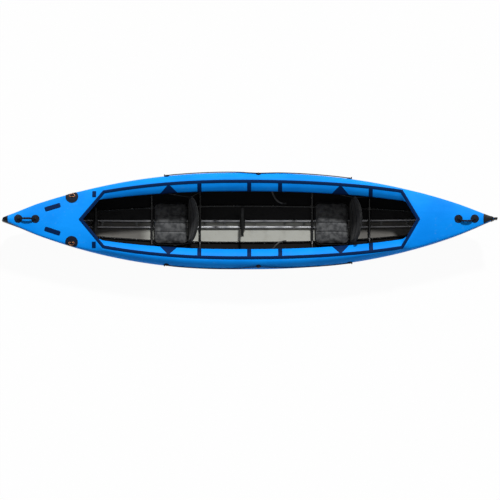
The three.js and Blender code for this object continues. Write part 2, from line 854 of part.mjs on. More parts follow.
function towRing(side) {
  const ends = [-ringRadius, ringRadius].map((along) => vec(along, 0, 0));
  const arc = Array.from({ length: ringArcSteps + 1 }, (_, i) => {
    const angle = Math.PI * (i / ringArcSteps);
    return vec(ringRadius * Math.cos(angle), side * ringRadius * Math.sin(angle), 0);
  });
  const ring = joined(tubeThrough(ends, ringWire, wireSides), tubeThrough(arc, ringWire, wireSides));
  return ring.translate(0, 0, ringPinHeight);
}
for (const [sideName, side] of sides) {
  const spot = deckSpot(towRingX, side * towRingY);
  const seat = { point: spot.point.clone().addScaledVector(spot.normal, seatGap), normal: spot.normal };
  const disc = discOn(spot, towPatchRadius, seatGap, seatGap + padThickness);
  const ringStaple = staple(ringStapleWidth, ringWire, ringPinHeight, runningGap);
  ringStaple.block.translate(0, 0, padRoot + padRoot / 2);
  addPiece(`tow_patch_${sideName}`, stapledOnto(disc, [seat], ringStaple), plasticBlack, fabricLook);
  addPiece(`tow_ring_${sideName}`, seated(towRing(side), seat), ringBronze, metalLook);
}

// Gear patches: rectangles welded to the fore deck alongside its edges
for (const [sideName, side] of sides) {
  const slope = (beamAt(gearPatchX + gearPatchLength) - beamAt(gearPatchX - gearPatchLength)) / (2 * gearPatchLength);
  const { point } = deckSpot(gearPatchX, side * gearPatchY);
  const cutter = new THREE.BoxGeometry(gearPatchLength, gearPatchWidth, gearPatchWidth);
  cutter.rotateZ(Math.atan(side * slope)).translate(...point.toArray());
  const patch = deckLayer(seatGap, seatGap + padThickness, cutter);
  addPiece(`gear_patch_${sideName}`, patch, trimBlack, fabricLook);
}

// Grab lines: a rope along each side, through a staple at each end and one in the middle
for (const [sideName, side] of sides) {
  const centres = grabLinePoints.map((place) => {
    const { point, normal } = deckSideSpot(place);
    return onSide(point.addScaledVector(normal, grabPinHeight), side);
  });
  const bowTail = centres[0].clone().add(vec(-grabTail, 0, 0));
  const sternTail = centres.at(-1).clone().add(vec(grabTail, 0, 0));
  const rope = tubeThrough([bowTail, ...centres, sternTail], grabRadius, wireSides);
  addPiece(`grab_line_${sideName}`, rope, lineBlack, fabricLook);
}

// Black strip round the cockpit, with the straps and tabs that are welded to it
function upright(outline) {
  const shape = new THREE.Shape(outline.map(([x, y]) => new THREE.Vector2(x, y)));
  return new THREE.ExtrudeGeometry(shape, { depth: 2 * topHeight, bevelEnabled: false });
}

function rectangle(fromX, toX, fromY, toY) {
  return upright([[fromX, fromY], [toX, fromY], [toX, toY], [fromX, toY]]);
}

function stripAdditions(side) {
  const ties = tieXs.map((x) => {
    const fromY = side * (openingAt(x) - overrun);
    return rectangle(x - tieWidth / 2, x + tieWidth / 2, fromY, side * stripInnerAt(x));
  });
  const anchors = seats.map(({ anchorX }) => upright([
    [anchorX - anchorHalfLength, side * (openingAt(anchorX - anchorHalfLength) - overrun)],
    [anchorX + anchorHalfLength, side * (openingAt(anchorX + anchorHalfLength) - overrun)],
    [anchorX, side * (stripInnerAt(anchorX) + anchorTipReach)],
  ]));
  const tab = rectangle(tabX - tabWidth / 2, tabX + tabWidth / 2, side * tabFromY, side * tabToY);
  return [...ties, ...anchors, tab];
}

function cockpitStrip() {
  const high = seatGap + trimThickness;
  const onDeck = (fromColumn, toColumn) => (tag) => !tag.stem && tag.column >= fromColumn && tag.column <= toColumn;
  const strip = shell(deckSheet, seatGap, high, onDeck(stripColumn, stripColumn));
  const field = shell(deckSheet, seatGap, high, onDeck(stripColumn - 1, bandColumns[1]));
  const cutters = joined(...sides.flatMap(([, side]) => stripAdditions(side)));
  return joined(strip, common(field, cutters));
}
addPiece('cockpit_strip', cockpitStrip(), trimBlack, fabricLook);

// Rudder bracket: a saddle on the crown of the stern, with cheeks beside the stem and a block
// behind it that is bored for the rudder's pin
function rudderBracket() {
  const near = alongBoat(bracketFrontX, sternX + overrun);
  const onCrown = (tag) => near(tag) && tag.column >= deckSideLines.length - 1;
  const saddle = shell(deckSheet, seatGap, seatGap + bracketWall, onCrown);
  const bottomZ = stemPoint(sternEnd, 0).z - bracketNoseDrop;
  const topZ = topAt(sternX) + bracketTopRise;
  const height = topZ - bottomZ;
  const block = new THREE.BoxGeometry(bracketAftX - bracketCheekX, halfBeam, height);
  block.translate((bracketAftX + bracketCheekX) / 2, 0, (topZ + bottomZ) / 2);
  const cheeks = [deckSheet, hullSheet].map((sheet) => {
    return common(shell(sheet, seatGap, seatGap + bracketCheekWall, near), block);
  });
  const spine = new THREE.BoxGeometry(bracketAftX - sternX, 2 * bracketHalfWidth, height);
  spine.translate((bracketAftX + sternX) / 2, 0, (topZ + bottomZ) / 2);
  const pinX = bracketAftX - pintleInset;
  const boreEnds = [bottomZ - overrun, topZ + overrun].map((z) => vec(pinX, 0, z));
  const bore = pinBetween(...boreEnds, circumscribed(pintleRadius));
  const room = [deckSheet, hullSheet].map((sheet) => shell(sheet, -skinThickness, seatGap, near));
  return cutBy(joined(saddle, ...cheeks, spine), [bore, ...room]);
}
addPiece('rudder_bracket', rudderBracket(), plasticBlack, plasticLook);

// The room that the hull skin and its clearance take up, to be cut from what stands on it
function hullRoom(fromX, toX) {
  const reach = 2 * stationSpace;
  return shell(hullSheet, -skinThickness - seatGap, overrun, alongBoat(fromX - reach, toX + reach));
}

// Stem plates: flat fins that fill both stems and take the ends of the long tubes
const stemEnds = [
  { name: 'bow_stem', end: bowEnd, aftX: plateAftX[0], armX: keelsonBowX, side: 'bow' },
  { name: 'stern_stem', end: sternEnd, aftX: plateAftX[1], armX: keelsonSternX, side: 'stern' },
];
const innerFloor = (x) => keelAt(x) + skinThickness + seatGap;

// A plate cut to an outline in the XZ plane, centred on the middle plane of the boat
function uprightPlate(outline, holes, thickness) {
  const shape = new THREE.Shape(outline);
  for (const { x, z, radius } of holes) {
    const rim = circleOutline(radius, cutSides).map(([right, up]) => new THREE.Vector2(x + right, z + up));
    shape.holes.push(new THREE.Path(rim));
  }
  const geometry = new THREE.ExtrudeGeometry(shape, { depth: thickness, bevelEnabled: false, curveSegments: 6 });
  geometry.rotateX(Math.PI / 2);
  geometry.translate(0, thickness / 2, 0);
  return geometry;
}

function stemPlate({ end, aftX, armX }) {
  const outline = [];
  const deckDepth = skinThickness + plateTopClearance;
  for (const angle of plateStemAngles) {
    const point = stemPoint(end, angle);
    const inset = angle < 0 ? plateClearance : deckDepth;
    const turn = THREE.MathUtils.degToRad(angle);
    outline.push(new THREE.Vector2(point.x + end.inboard * inset * Math.cos(turn), point.z - inset * Math.sin(turn)));
  }
  const crest = outline.at(-1).x;
  const toe = outline[0].x;
  for (let i = 1; i <= plateOutlineSteps; i += 1) {
    const x = mix(crest, aftX, i / plateOutlineSteps);
    outline.push(new THREE.Vector2(x, topAt(x) - deckDepth));
  }
  const armEndX = armX - end.inboard * seatGap;
  for (let i = 0; i <= plateOutlineSteps; i += 1) {
    const x = mix(aftX, armEndX, i / plateOutlineSteps);
    outline.push(new THREE.Vector2(x, innerFloor(x) + armHeight));
  }
  for (let i = 0; i < 2 * plateOutlineSteps; i += 1) {
    const x = mix(armEndX, toe, i / (2 * plateOutlineSteps));
    outline.push(new THREE.Vector2(x, innerFloor(x) + armClearance));
  }
  const holeX = aftX - end.inboard * plateHoleInset;
  const holes = [{ x: holeX, z: (keelAt(holeX) + topAt(holeX)) / 2, radius: plateHoleRadius }];
  const plate = uprightPlate(outline, holes, 2 * plateHalfThickness);
  return cutBy(plate, [hullRoom(Math.min(end.x, armX), Math.max(end.x, armX))]);
}
for (const stem of stemEnds) addPiece(stem.name, stemPlate(stem), plasticBlack, plasticLook);

// Centre lines of the lengthwise tubes, one point at each station; all of them close in
// on the stem plates at their ends
function closingIn(point, radius) {
  const joinX = point.x < 0 ? joinXs[0] : joinXs[1];
  const near = clamp(1 - Math.abs(point.x - joinX) / joinZone, 0, 1);
  const beyond = Math.abs(point.x) > Math.abs(joinX) ? 1 : near ** 2 * (3 - 2 * near);
  const plateSide = plateHalfThickness + seatGap + radius;
  return vec(point.x, mix(point.y, plateSide, beyond), point.z);
}

const stringerDepth = (skinThickness + seatGap + stringerRadius) * cornerShare;
const stringerCentre = (column) => (k) => {
  return closingIn(insideHull(hullRows[k][column], stringerDepth), stringerRadius);
};
const stringerKinds = [
  { name: 'chine_stringer', radius: stringerRadius, at: stringerCentre(1) },
  { name: 'side_stringer', radius: stringerRadius, at: stringerCentre(2) },
  { name: 'gunwale', radius: gunwaleRadius, at: (k) => gunwaleCentre(k) },
];

const tubeUnderEdge = skinThickness + seatGap + gunwaleRadius;
const gunwaleYAt = (x) => openingShare * beamAt(x) + tubeUnderEdge;
const gunwaleDrop = bandSlopeShare * (stripInnerAt(widestX) - gunwaleYAt(widestX))
  + tubeUnderEdge * Math.hypot(1, bandSlopeShare);

function gunwaleCentre(k) {
  const x = stations[k];
  return closingIn(vec(x, gunwaleYAt(x), topAt(x) - gunwaleDrop), gunwaleRadius);
}

function centresBetween(at, fromX, toX) {
  const inside = stations.filter((x) => x > fromX + stationSpace / 4 && x < toX - stationSpace / 4);
  return straightened([fromX, ...inside, toX].map((x) => interpolated(at, x)));
}

// Leaves out the points that lie on the line between their neighbours
function straightened(points) {
  const kept = [points[0]];
  for (let i = 1; i + 1 < points.length; i += 1) {
    const chord = new THREE.Line3(kept.at(-1), points[i + 1]);
    const nearest = chord.closestPointToPoint(points[i], true, vec(0, 0, 0));
    if (nearest.distanceTo(points[i]) > straightTolerance) kept.push(points[i]);
  }
  return [...kept, points.at(-1)];
}

for (const { name, radius, at } of stringerKinds) {
  const halves = [
    ['bow', centresBetween(at, joinXs[0], tubeJointX - seatGap / 2)],
    ['stern', centresBetween(at, tubeJointX + seatGap / 2, joinXs[1])],
  ];
  for (const [half, centres] of halves) {
    for (const [sideName, side] of sides) {
      const bar = barAlong(centres.map((point) => onSide(point, side)), radius, stringerSides);
      addPiece(`${name}_${half}_${sideName}`, bar, tubeSilver, metalLook);
    }
  }
}

// Deck bars: short tubes that hold up the crown of each closed deck
const deckBarDrop = skinThickness + seatGap + deckBarClearance + deckBarRadius;
const deckBarCentre = (k) => vec(stations[k], 0, topAt(stations[k]) - deckBarDrop);
const barEnds = [
  { name: 'bow_deck_bar', fromX: plateAftX[0] + seatGap, toX: frameXs[0] + deckBarOverhang },
  { name: 'stern_deck_bar', fromX: frameXs.at(-1) - deckBarOverhang, toX: plateAftX[1] - seatGap },
];
for (const { name, fromX, toX } of barEnds) {
  addPiece(name, barAlong(centresBetween(deckBarCentre, fromX, toX), deckBarRadius), tubeSilver, metalLook);
}

// Keelson: a ladder of two tubes and rungs along the bottom, in three lengths that plug together
function keelsonCentre(k) {
  const x = stations[k];
  const chine = hullRows[k][1];
  const rise = (chine.z - keelAt(x)) * ((keelsonSpacing / 2 + keelsonRadius) / chine.y);
  return vec(x, keelsonSpacing / 2, innerFloor(x) + rise + keelsonRadius);
}

function rungAt(x) {
  const height = interpolated(keelsonCentre, x).z;
  const rung = new THREE.BoxGeometry(rungLength, keelsonSpacing, rungHeight);
  return rung.translate(x, 0, height + rungLift);
}

function keelsonTubes(fromX, toX) {
  return sides.map(([, side]) => {
    return barAlong(centresBetween(keelsonCentre, fromX, toX).map((p) => onSide(p, side)), keelsonRadius, keelsonSides);
  });
}

// Reaches from a keelson joint along both tubes, to cut a socket or to add a spigot
function jointPins(jointX, towards, length, radius, startGap) {
  return sides.map(([, side]) => {
    const centre = onSide(interpolated(keelsonCentre, jointX), side);
    const start = centre.clone().add(vec(towards * startGap, 0, 0));
    return pinBetween(start, centre.clone().add(vec(towards * length, 0, 0)), radius);
  });
}

function buttonPins(x, bottomLift, topLift, radius) {
  return sides.map(([, side]) => {
    const centre = onSide(interpolated(keelsonCentre, x), side);
    return pinBetween(centre.clone().add(vec(0, 0, bottomLift)), centre.clone().add(vec(0, 0, topLift)), radius);
  });
}

const rungsBetween = (fromX, toX, count) => Array.from({ length: count }, (_, i) => {
  return rungAt(mix(fromX + rungInset, toX - rungInset, count > 1 ? i / (count - 1) : 0.5));
});
const keelsonJoints = [
  { x: keelsonJointBowX, towards: -1, name: 'front' },
  { x: keelsonJointSternX, towards: 1, name: 'rear' },
];
const socketRadius = circumscribed(spigotRadius + spigotClearance);
const outerLengths = [
  { name: 'keelson_front', fromX: keelsonBowX, toX: keelsonJointBowX - seatGap, rungs: frontRungCount },
  { name: 'keelson_rear', fromX: keelsonJointSternX + seatGap, toX: keelsonSternX, rungs: rearRungCount },
];
for (const [i, { name, fromX, toX, rungs }] of outerLengths.entries()) {
  const joint = keelsonJoints[i];
  const ladder = joined(...keelsonTubes(fromX, toX), ...rungsBetween(fromX, toX, rungs));
  const sockets = jointPins(joint.x, joint.towards, spigotLength + spigotEndGap, socketRadius, -overrun);
  const holes = buttonPins(joint.x + joint.towards * buttonInset, 0, keelsonRadius + overrun, buttonHoleRadius);
  addPiece(name, cutBy(ladder, [...sockets, ...holes]), tubeSilver, metalLook);
}
const spigots = keelsonJoints.flatMap((joint) => {
  return jointPins(joint.x, joint.towards, spigotLength, circumscribed(spigotRadius), -spigotLength / 2);
});
const buttonWells = keelsonJoints.flatMap((joint) => {
  const wellX = joint.x + joint.towards * buttonInset;
  return buttonPins(wellX, -buttonTravel - runningGap, keelsonRadius, buttonHoleRadius);
});
const middleTubes = keelsonTubes(keelsonJointBowX, keelsonJointSternX);
const middleRungs = rungsBetween(keelsonJointBowX, keelsonJointSternX, middleRungCount);
addPiece('keelson_middle', cutBy(joined(...middleTubes, ...middleRungs, ...spigots), buttonWells), tubeSilver, metalLook);
for (const joint of keelsonJoints) {
  const buttonX = joint.x + joint.towards * buttonInset;
  buttonPins(buttonX, 0, keelsonRadius + buttonProud, buttonRadius).forEach((button, k) => {
    addPiece(`lock_button_${joint.name}_${sides[k][0]}`, button, tubeSilver, metalLook);
  });
}

// Cross-frames: bent tubes with a clip for each lengthwise tube
function bendAt(before, corner, after) {
  const back = before.clone().sub(corner);
  const ahead = after.clone().sub(corner);
  const reach = Math.min(frameBendReach, back.length() / 2, ahead.length() / 2);
  const enter = corner.clone().addScaledVector(back.normalize(), reach);
  const leave = corner.clone().addScaledVector(ahead.normalize(), reach);
  return new THREE.QuadraticBezierCurve3(enter, corner, leave);
}

function roundedRoute(points) {
  const bends = points.slice(1, -1).flatMap((corner, i) => {
    return bendAt(points[i], corner, points[i + 2]).getPoints(bendSteps);
  });
  return [points[0], ...bends, points.at(-1)];
}

function clipBlock(from, centre, radius, gripShare) {
  const away = centre.clone().sub(from);
  const root = frameTubeRadius / 2;
  const length = away.length() + gripShare * radius + root;
  const block = new THREE.BoxGeometry(clipWidth, 2 * (radius + clipWall), length);
  block.translate(0, 0, length / 2 - root);
  block.rotateX(Math.atan2(-away.y, away.z));
  return block.translate(...from.toArray());
}

function clipCut(k, at, side, radius, tube) {
  const [before, ahead] = [k - 1, k + 1].map((next) => {
    const step = at(next).sub(at(k));
    return at(k).addScaledVector(step, clipWidth / step.length());
  });
  const centres = [before, at(k), ahead].map((point) => onSide(point, side));
  return barAlong(centres, radius + circumscribed(clipClearance, tube), tube);
}

function crossFrame(frameX) {
  const k = stations.indexOf(frameX);
  const closed = frameX === frameXs[0] || frameX === frameXs.at(-1);
  const [chine, side, gunwale] = stringerKinds.map((kind) => kind.at(k));
  const keelson = keelsonCentre(k);
  const standOff = clipClearance + frameTubeRadius;
  const footZ = keelson.z + keelsonRadius + standOff;
  const barZ = topAt(frameX) - deckBarDrop - deckBarRadius - standOff;
  const top = closed
    ? vec(frameX, gunwale.y - gunwaleRadius - standOff, barZ)
    : vec(frameX, gunwale.y, gunwale.z - gunwaleRadius - standOff);
  const knee = insideHull(hullRows[k][2], stringerDepth + stringerRadius + standOff).setX(frameX);
  const foot = vec(frameX, chine.y, footZ);
  const kneeBend = bendAt(top, knee, foot).getPoint(0.5);
  const footBend = bendAt(knee, foot, mirrored(foot)).getPoint(0.5);
  const half = [top, knee, foot];
  const route = [...half, ...[...half].reverse().map(mirrored)];
  const bodies = [tubeThrough(roundedRoute(route), frameTubeRadius)];
  const cuts = [hullRoom(frameX - clipWidth, frameX + clipWidth)];
  for (const [, way] of sides) {
    const gunwaleFrom = closed ? vec(frameX, top.y, gunwale.z) : top;
    const grip = closed ? clipGripShare : gunwaleGripShare;
    bodies.push(clipBlock(onSide(gunwaleFrom, way), onSide(gunwale, way), gunwaleRadius, grip));
    bodies.push(clipBlock(onSide(kneeBend, way), onSide(side, way), stringerRadius, clipGripShare));
    bodies.push(clipBlock(onSide(footBend, way), onSide(chine, way), stringerRadius, clipGripShare));
    stringerKinds.forEach(({ at, radius }) => cuts.push(clipCut(k, at, way, radius, stringerSides)));
    cuts.push(clipCut(k, keelsonCentre, way, keelsonRadius, keelsonSides));
  }
  const saddleHeight = footZ - keelson.z - saddleLift;
  const saddle = new THREE.BoxGeometry(clipWidth, keelsonSpacing + 2 * (keelsonRadius + clipWall), saddleHeight);
  bodies.push(saddle.translate(frameX, 0, footZ - saddleHeight / 2));
  if (closed) {
    const end = vec(frameX, top.y, barZ);
    bodies.push(pinBetween(mirrored(end), end, circumscribed(frameTubeRadius, tubeSides), tubeSides));
  }
  return cutBy(joined(...bodies), cuts);
}
frameXs.forEach((x, i) => addPiece(`cross_frame_${i + 1}`, crossFrame(x), tubeSilver, metalLook));

// Sponsons: long air tubes that fill the space between the skins and the frame
function sponsonInnerY(x) {
  return Math.min(gunwaleYAt(x) + gunwaleRadius + sponsonFrameGap, sponsonThinShare * beamAt(x));
}

function sponsonRing(k) {
  const x = stations[k];
  const depth = skinThickness + sponsonGap;
  const outer = [insideHull(hullRows[k][3], depth)];
  for (const column of sponsonColumns) outer.push(insideDeck(deckRows[k][column], depth));
  const top = outer.at(-1);
  const bottom = outer[0];
  const bulge = vec(x, 2 * sponsonInnerY(x) - (top.y + bottom.y) / 2, (top.z + bottom.z) / 2);
  const inner = new THREE.QuadraticBezierCurve3(top, bulge, bottom).getPoints(sponsonInnerSteps).slice(1, -1);
  const ring = [...outer, ...inner];
  const middle = vec(0, 0, 0);
  ring.forEach((point) => middle.addScaledVector(point, 1 / ring.length));
  const fromEnd = Math.min(x - sponsonEndXs[0], sponsonEndXs[1] - x) / sponsonEndLength;
  const taper = Math.sqrt(clamp(fromEnd * (2 - fromEnd), sponsonTipShare, 1));
  return ring.map((point) => point.lerp(middle, fromEnd < 1 ? 1 - taper : 0));
}
const sponsonStations = stations.map((x, k) => k).filter((k) => {
  return stations[k] > sponsonEndXs[0] && stations[k] < sponsonEndXs[1];
});
for (const [sideName, side] of sides) {
  const rings = sponsonStations.map((k) => sponsonRing(k).map((point) => onSide(point, side)));
  addPiece(`sponson_${sideName}`, loft(rings), fabricBlack, fabricLook);
}

// Inflation hoses: each leaves its sponson, bends towards the stern and ends in a screwed cap
function sponsonCrest(k) {
  return sponsonRing(k).reduce((crest, point) => (point.y < crest.y ? point : crest));
}

function hoseRoute() {
  const wall = interpolated((k) => sponsonCrest(k), hoseX);
  return hoseForwardShares.map((share, i) => {
    const y = wall.y - hoseGap - hoseInwardShares[i] * hoseReachY;
    return vec(hoseX + share * hoseReachX, y, wall.z - hoseDropShares[i] * hoseDrop);
  });
}

function inflationHose() {
  const route = hoseRoute();
  const [wall, tip] = [route[0], route.at(-1)];
  const flangeEnd = vec(wall.x, wall.y - hoseFlangeThickness, wall.z);
  const collarStart = vec(tip.x - hoseCollarLength, tip.y, tip.z);
  const spigotTip = vec(tip.x + capLength - capWall - runningGap, tip.y, tip.z);
  return joined(
    pinBetween(wall, flangeEnd, hoseFlangeRadius, discSides),
    tubeThrough([...route, spigotTip], hoseRadius, wireSides),
    pinBetween(collarStart, tip, hoseCollarRadius, discSides),
  );
}

function hoseCap() {
  const tip = hoseRoute().at(-1);
  const start = vec(tip.x + seatGap, tip.y, tip.z);
  const end = vec(tip.x + capLength, tip.y, tip.z);
  const boreStart = vec(tip.x - overrun, tip.y, tip.z);
  const boreEnd = vec(tip.x + capLength - capWall, tip.y, tip.z);
  const boreRadius = circumscribed(hoseRadius + runningGap, discSides);
  return cutBy(pinBetween(start, end, capRadius, discSides), [pinBetween(boreStart, boreEnd, boreRadius, discSides)]);
}
for (const [sideName, side] of sides) {
  const mirrorY = new THREE.Matrix4().makeScale(1, side, 1);
  addPiece(`inflation_hose_${sideName}`, facingOut(inflationHose().applyMatrix4(mirrorY)), plasticBlack, plasticLook);
  addPiece(`hose_cap_${sideName}`, facingOut(hoseCap().applyMatrix4(mirrorY)), plasticBlack, plasticLook);
}

// Seats: a cushion that rests on the keelson, and a backrest hinged to its rear edge
const smoothStep = (share) => share ** 2 * (3 - 2 * share);
const seatFloorAt = (x) => interpolated(keelsonCentre, x).z + keelsonRadius + seatGap;
const spaced = (count) => Array.from({ length: count + 1 }, (_, i) => -Math.cos((Math.PI * i) / count));

function channels(place, channelShares) {
  const dents = channelShares.map((share) => Math.exp(-(((place - share) / channelWidthShare) ** 2)));
  return 1 - channelDepthShare * dents.reduce((sum, dent) => sum + dent, 0);
}

function cushion(frontX) {
  const floorZ = Math.max(seatFloorAt(frontX), seatFloorAt(frontX + cushionLength));
  return loft(spaced(cushionRings).map((along) => {
    const fromEnd = (1 - Math.abs(along)) * (cushionLength / 2);
    const short = Math.max(0, cushionCorner - fromEnd);
    const cornerCut = cushionCorner - Math.sqrt(cushionCorner ** 2 - short ** 2);
    const half = (cushionWidth / 2) * (1 - drawnInShare * (1 - along ** 2)) - cornerCut * cornerRoundShare;
    const x = frontX + (cushionLength / 2) * (1 + along);
    const top = spaced(cushionSides).map((across) => {
      const fullness = (1 - along ** padPower) * (1 - across ** padPower) * channels(across, cushionChannelShares);
      return vec(x, half * across, floorZ + cushionEdge + cushionCrown * fullness);
    });
    const foot = cushionFootShares.map((share) => vec(x, share * (half - footInset), floorZ));
    return [...top, ...foot];
  }));
}

// Loops of webbing at the rear edge of the cushion, in which the backrest's lower roll turns
function hingeLoop(hinge, y) {
  const outer = hingeRadius + seatGap + trimThickness;
  const outline = [];
  for (let i = 0; i <= loopSteps; i += 1) {
    const angle = mix(loopFrom, loopTo, i / loopSteps);
    outline.push(new THREE.Vector2(outer * Math.cos(angle), outer * Math.sin(angle)));
  }
  for (let i = loopSteps; i >= 0; i -= 1) {
    const angle = mix(loopFrom, loopTo, i / loopSteps);
    const inner = circumscribed(hingeRadius + seatGap, 2 * rollSteps);
    outline.push(new THREE.Vector2(inner * Math.cos(angle), inner * Math.sin(angle)));
  }
  const loop = uprightPlate(outline, [], loopWidth);
  const tongueLength = hingeRadius + seatGap;
  const tongue = new THREE.BoxGeometry(tongueLength, loopWidth, trimThickness);
  tongue.translate(-tongueLength / 2, 0, -outer + trimThickness / 2);
  return joined(loop, tongue).translate(hinge.x, y, hinge.z);
}

function backrest(hinge) {
  const lean = THREE.MathUtils.degToRad(backrestLean);
  return loft(spaced(backrestRings).map((across) => {
    const height = backrestHeight * (1 - backrestRoundShare * Math.abs(across) ** backEdgePower);
    const profile = [];
    const thickness = (share) => {
      const edge = mix(1, backEdgeShare, across ** padPower * smoothStep(Math.min(1, share / backEdgeRampShare)));
      return hingeRadius * edge * mix(1, backTopShare, share) * channels(share, backChannelShares);
    };
    for (let i = 0; i < rollSteps; i += 1) {
      const angle = Math.PI * (i / rollSteps);
      profile.push([-hingeRadius * Math.cos(angle), -hingeRadius * Math.sin(angle)]);
    }
    for (let i = 0; i <= backrestSteps; i += 1) profile.push([thickness(i / backrestSteps), height * (i / backrestSteps)]);
    profile.push([0, height + hingeRadius * backTopShare * backEdgeShare]);
    for (let i = backrestSteps; i > 0; i -= 1) profile.push([-thickness(i / backrestSteps), height * (i / backrestSteps)]);
    return profile.map(([depth, rise]) => {
      const wrap = backrestWrap * across ** 2 * smoothStep(clamp(rise / backrestRampHeight, 0, 1));
      const aft = depth - wrap;
      const x = aft * Math.cos(lean) + rise * Math.sin(lean);
      const z = rise * Math.cos(lean) - aft * Math.sin(lean);
      return vec(hinge.x + x, (backrestWidth / 2) * across, hinge.z + z);
    });
  }));
}

// Webbing from an anchor on the gunwale to the backrest and on to a tie behind it
function seatStrap(seat, hinge, side) {
  const lean = THREE.MathUtils.degToRad(backrestLean);
  const lipY = (x) => openingAt(x) - 2 * (seatGap + trimThickness) - strapThickness / 2;
  const lipZ = (x) => bandHeightAt(x, openingAt(x)) - lipDepth;
  const rise = backrestHeight * strapHeightShare;
  const held = vec(
    hinge.x + rise * Math.sin(lean) - backrestWrap * Math.cos(lean),
    backrestWidth / 2 + seatGap + strapThickness / 2,
    hinge.z + rise * Math.cos(lean),
  );
  const ends = [seat.anchorX, seat.tieX].map((x) => vec(x, lipY(x), lipZ(x)));
  const route = [ends[0], held, ends[1]];
  return loft(route.map((point, i) => {
    const ahead = route[Math.min(i + 1, 2)].clone().sub(route[Math.max(i - 1, 0)]).setZ(0).normalize();
    const across = vec(-ahead.y, ahead.x, 0).multiplyScalar(strapThickness / 2);
    const up = vec(0, 0, strapWidth / 2);
    const ring = [across.clone().add(up), across.clone().sub(up), across.clone().negate().sub(up), up.clone().sub(across)];
    return ring.map((corner) => onSide(corner.add(point), side));
  }));
}

for (const seat of seats) {
  const rearX = seat.frontX + cushionLength;
  const floorZ = Math.max(seatFloorAt(seat.frontX), seatFloorAt(rearX));
  const hinge = vec(rearX + seatGap + hingeRadius, 0, floorZ + cushionEdge + hingeRise);
  const loops = [-loopPlace, loopPlace].map((y) => hingeLoop(hinge, y));
  addPiece(`${seat.name}_seat_cushion`, joined(cushion(seat.frontX), ...loops), fabricBlack, paddingLook);
  addPiece(`${seat.name}_seat_backrest`, backrest(hinge), fabricBlack, paddingLook);
  for (const [sideName, side] of sides) {
    addPiece(`${seat.name}_seat_strap_${sideName}`, seatStrap(seat, hinge, side), fabricBlack, fabricLook);
  }
}

// Footrests: a padded bar on a post, whose saddle slides on the keelson; they are made on the
// keelson's axis at the origin and then laid along its slope
const saddleTop = keelsonRadius + saddleRise;
const saddleFoot = rungLift + rungHeight / 2 + saddleFootGap;
const saddleWidth = keelsonSpacing + 2 * (keelsonRadius + clipWall);

function footrest(x) {
  const saddle = new THREE.BoxGeometry(saddleLength, saddleWidth, saddleTop - saddleFoot);
  saddle.translate(0, 0, (saddleTop + saddleFoot) / 2);
  const post = new THREE.BoxGeometry(postLength, postWidth, footrestHeight + saddleRise);
  post.translate(0, 0, saddleTop + (footrestHeight - saddleRise) / 2);
  const barEnd = vec(0, footrestWidth / 2, saddleTop + footrestHeight);
  const bar = pinBetween(mirrored(barEnd), barEnd, footrestRadius);
  const grooveRadius = keelsonRadius + circumscribed(runningGap, keelsonSides);
  const grooves = sides.map(([, side]) => {
    const ends = [-saddleLength, saddleLength].map((along) => vec(along, side * (keelsonSpacing / 2), 0));
    return barAlong(ends, grooveRadius, keelsonSides);
  });
  const [behind, ahead] = [-saddleLength, saddleLength].map((step) => interpolated(keelsonCentre, x + step / 2));
  const slope = Math.atan2(ahead.z - behind.z, ahead.x - behind.x);
  const middle = (ahead.z + behind.z) / 2;
  return cutBy(joined(saddle, post, bar), grooves).rotateY(-slope).translate(x, 0, middle);
}
addPiece('front_footrest', footrest(frontFootrestX), plasticBlack, plasticLook);
addPiece('rear_footrest', footrest(rearFootrestX), plasticBlack, plasticLook);

export default kayak;
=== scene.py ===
# %% [markdown]
# # Dressing a two-seat folding kayak
# The packed CAD model is the frame of this lesson. It says where every tube, skin and seat
# lies, and which parts move. Blender adds what solids can't show: stretched cloth, padding
# that swells between its seams, rope, and the finish of each surface.
#
# Everything is in metres. X runs to the stern, Y to starboard and Z up.

# %% Load the frame
import math

import bmesh
import bpy
from mathutils import Matrix, Vector
from mathutils.bvhtree import BVHTree


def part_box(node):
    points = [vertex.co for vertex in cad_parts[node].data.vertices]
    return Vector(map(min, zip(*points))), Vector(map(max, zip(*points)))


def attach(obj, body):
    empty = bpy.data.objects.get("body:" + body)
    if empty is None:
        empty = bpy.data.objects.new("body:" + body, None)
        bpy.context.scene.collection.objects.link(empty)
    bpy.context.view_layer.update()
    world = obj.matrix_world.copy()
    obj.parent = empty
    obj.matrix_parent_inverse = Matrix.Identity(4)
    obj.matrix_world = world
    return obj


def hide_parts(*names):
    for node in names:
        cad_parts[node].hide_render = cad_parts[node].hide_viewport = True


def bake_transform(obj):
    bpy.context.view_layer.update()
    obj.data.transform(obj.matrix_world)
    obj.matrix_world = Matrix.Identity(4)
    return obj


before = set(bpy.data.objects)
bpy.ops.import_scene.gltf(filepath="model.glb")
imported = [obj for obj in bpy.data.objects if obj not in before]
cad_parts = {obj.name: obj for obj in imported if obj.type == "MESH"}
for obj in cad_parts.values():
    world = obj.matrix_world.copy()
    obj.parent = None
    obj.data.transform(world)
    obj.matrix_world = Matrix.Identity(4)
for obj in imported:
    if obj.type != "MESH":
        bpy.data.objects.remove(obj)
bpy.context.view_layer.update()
SIDES = {"port": -1, "starboard": 1}

# %% [markdown]
# ## Camera
# The photograph looks almost straight down from the port side with a long lens, so that the
# boat shows little perspective. A lens of 180 mm far away does the same. The camera's place
# is worked out from the width that the picture takes in at the height of the deck.

# %% Camera
ELEVATION = math.radians(83.5)
LENS, SENSOR = 180.0, 36.0
PICTURE_WIDTH = 4.36
PICTURE_MIDDLE = 0.009
PICTURE_DROP = 0.226
DECK_LEVEL = 0.25

picture_up = Vector((0, math.sin(ELEVATION), math.cos(ELEVATION)))
picture_back = Vector((0, -math.cos(ELEVATION), math.sin(ELEVATION)))
aim = Vector((PICTURE_MIDDLE, 0, 0)) - PICTURE_DROP * picture_up
distance = PICTURE_WIDTH * LENS / SENSOR + DECK_LEVEL

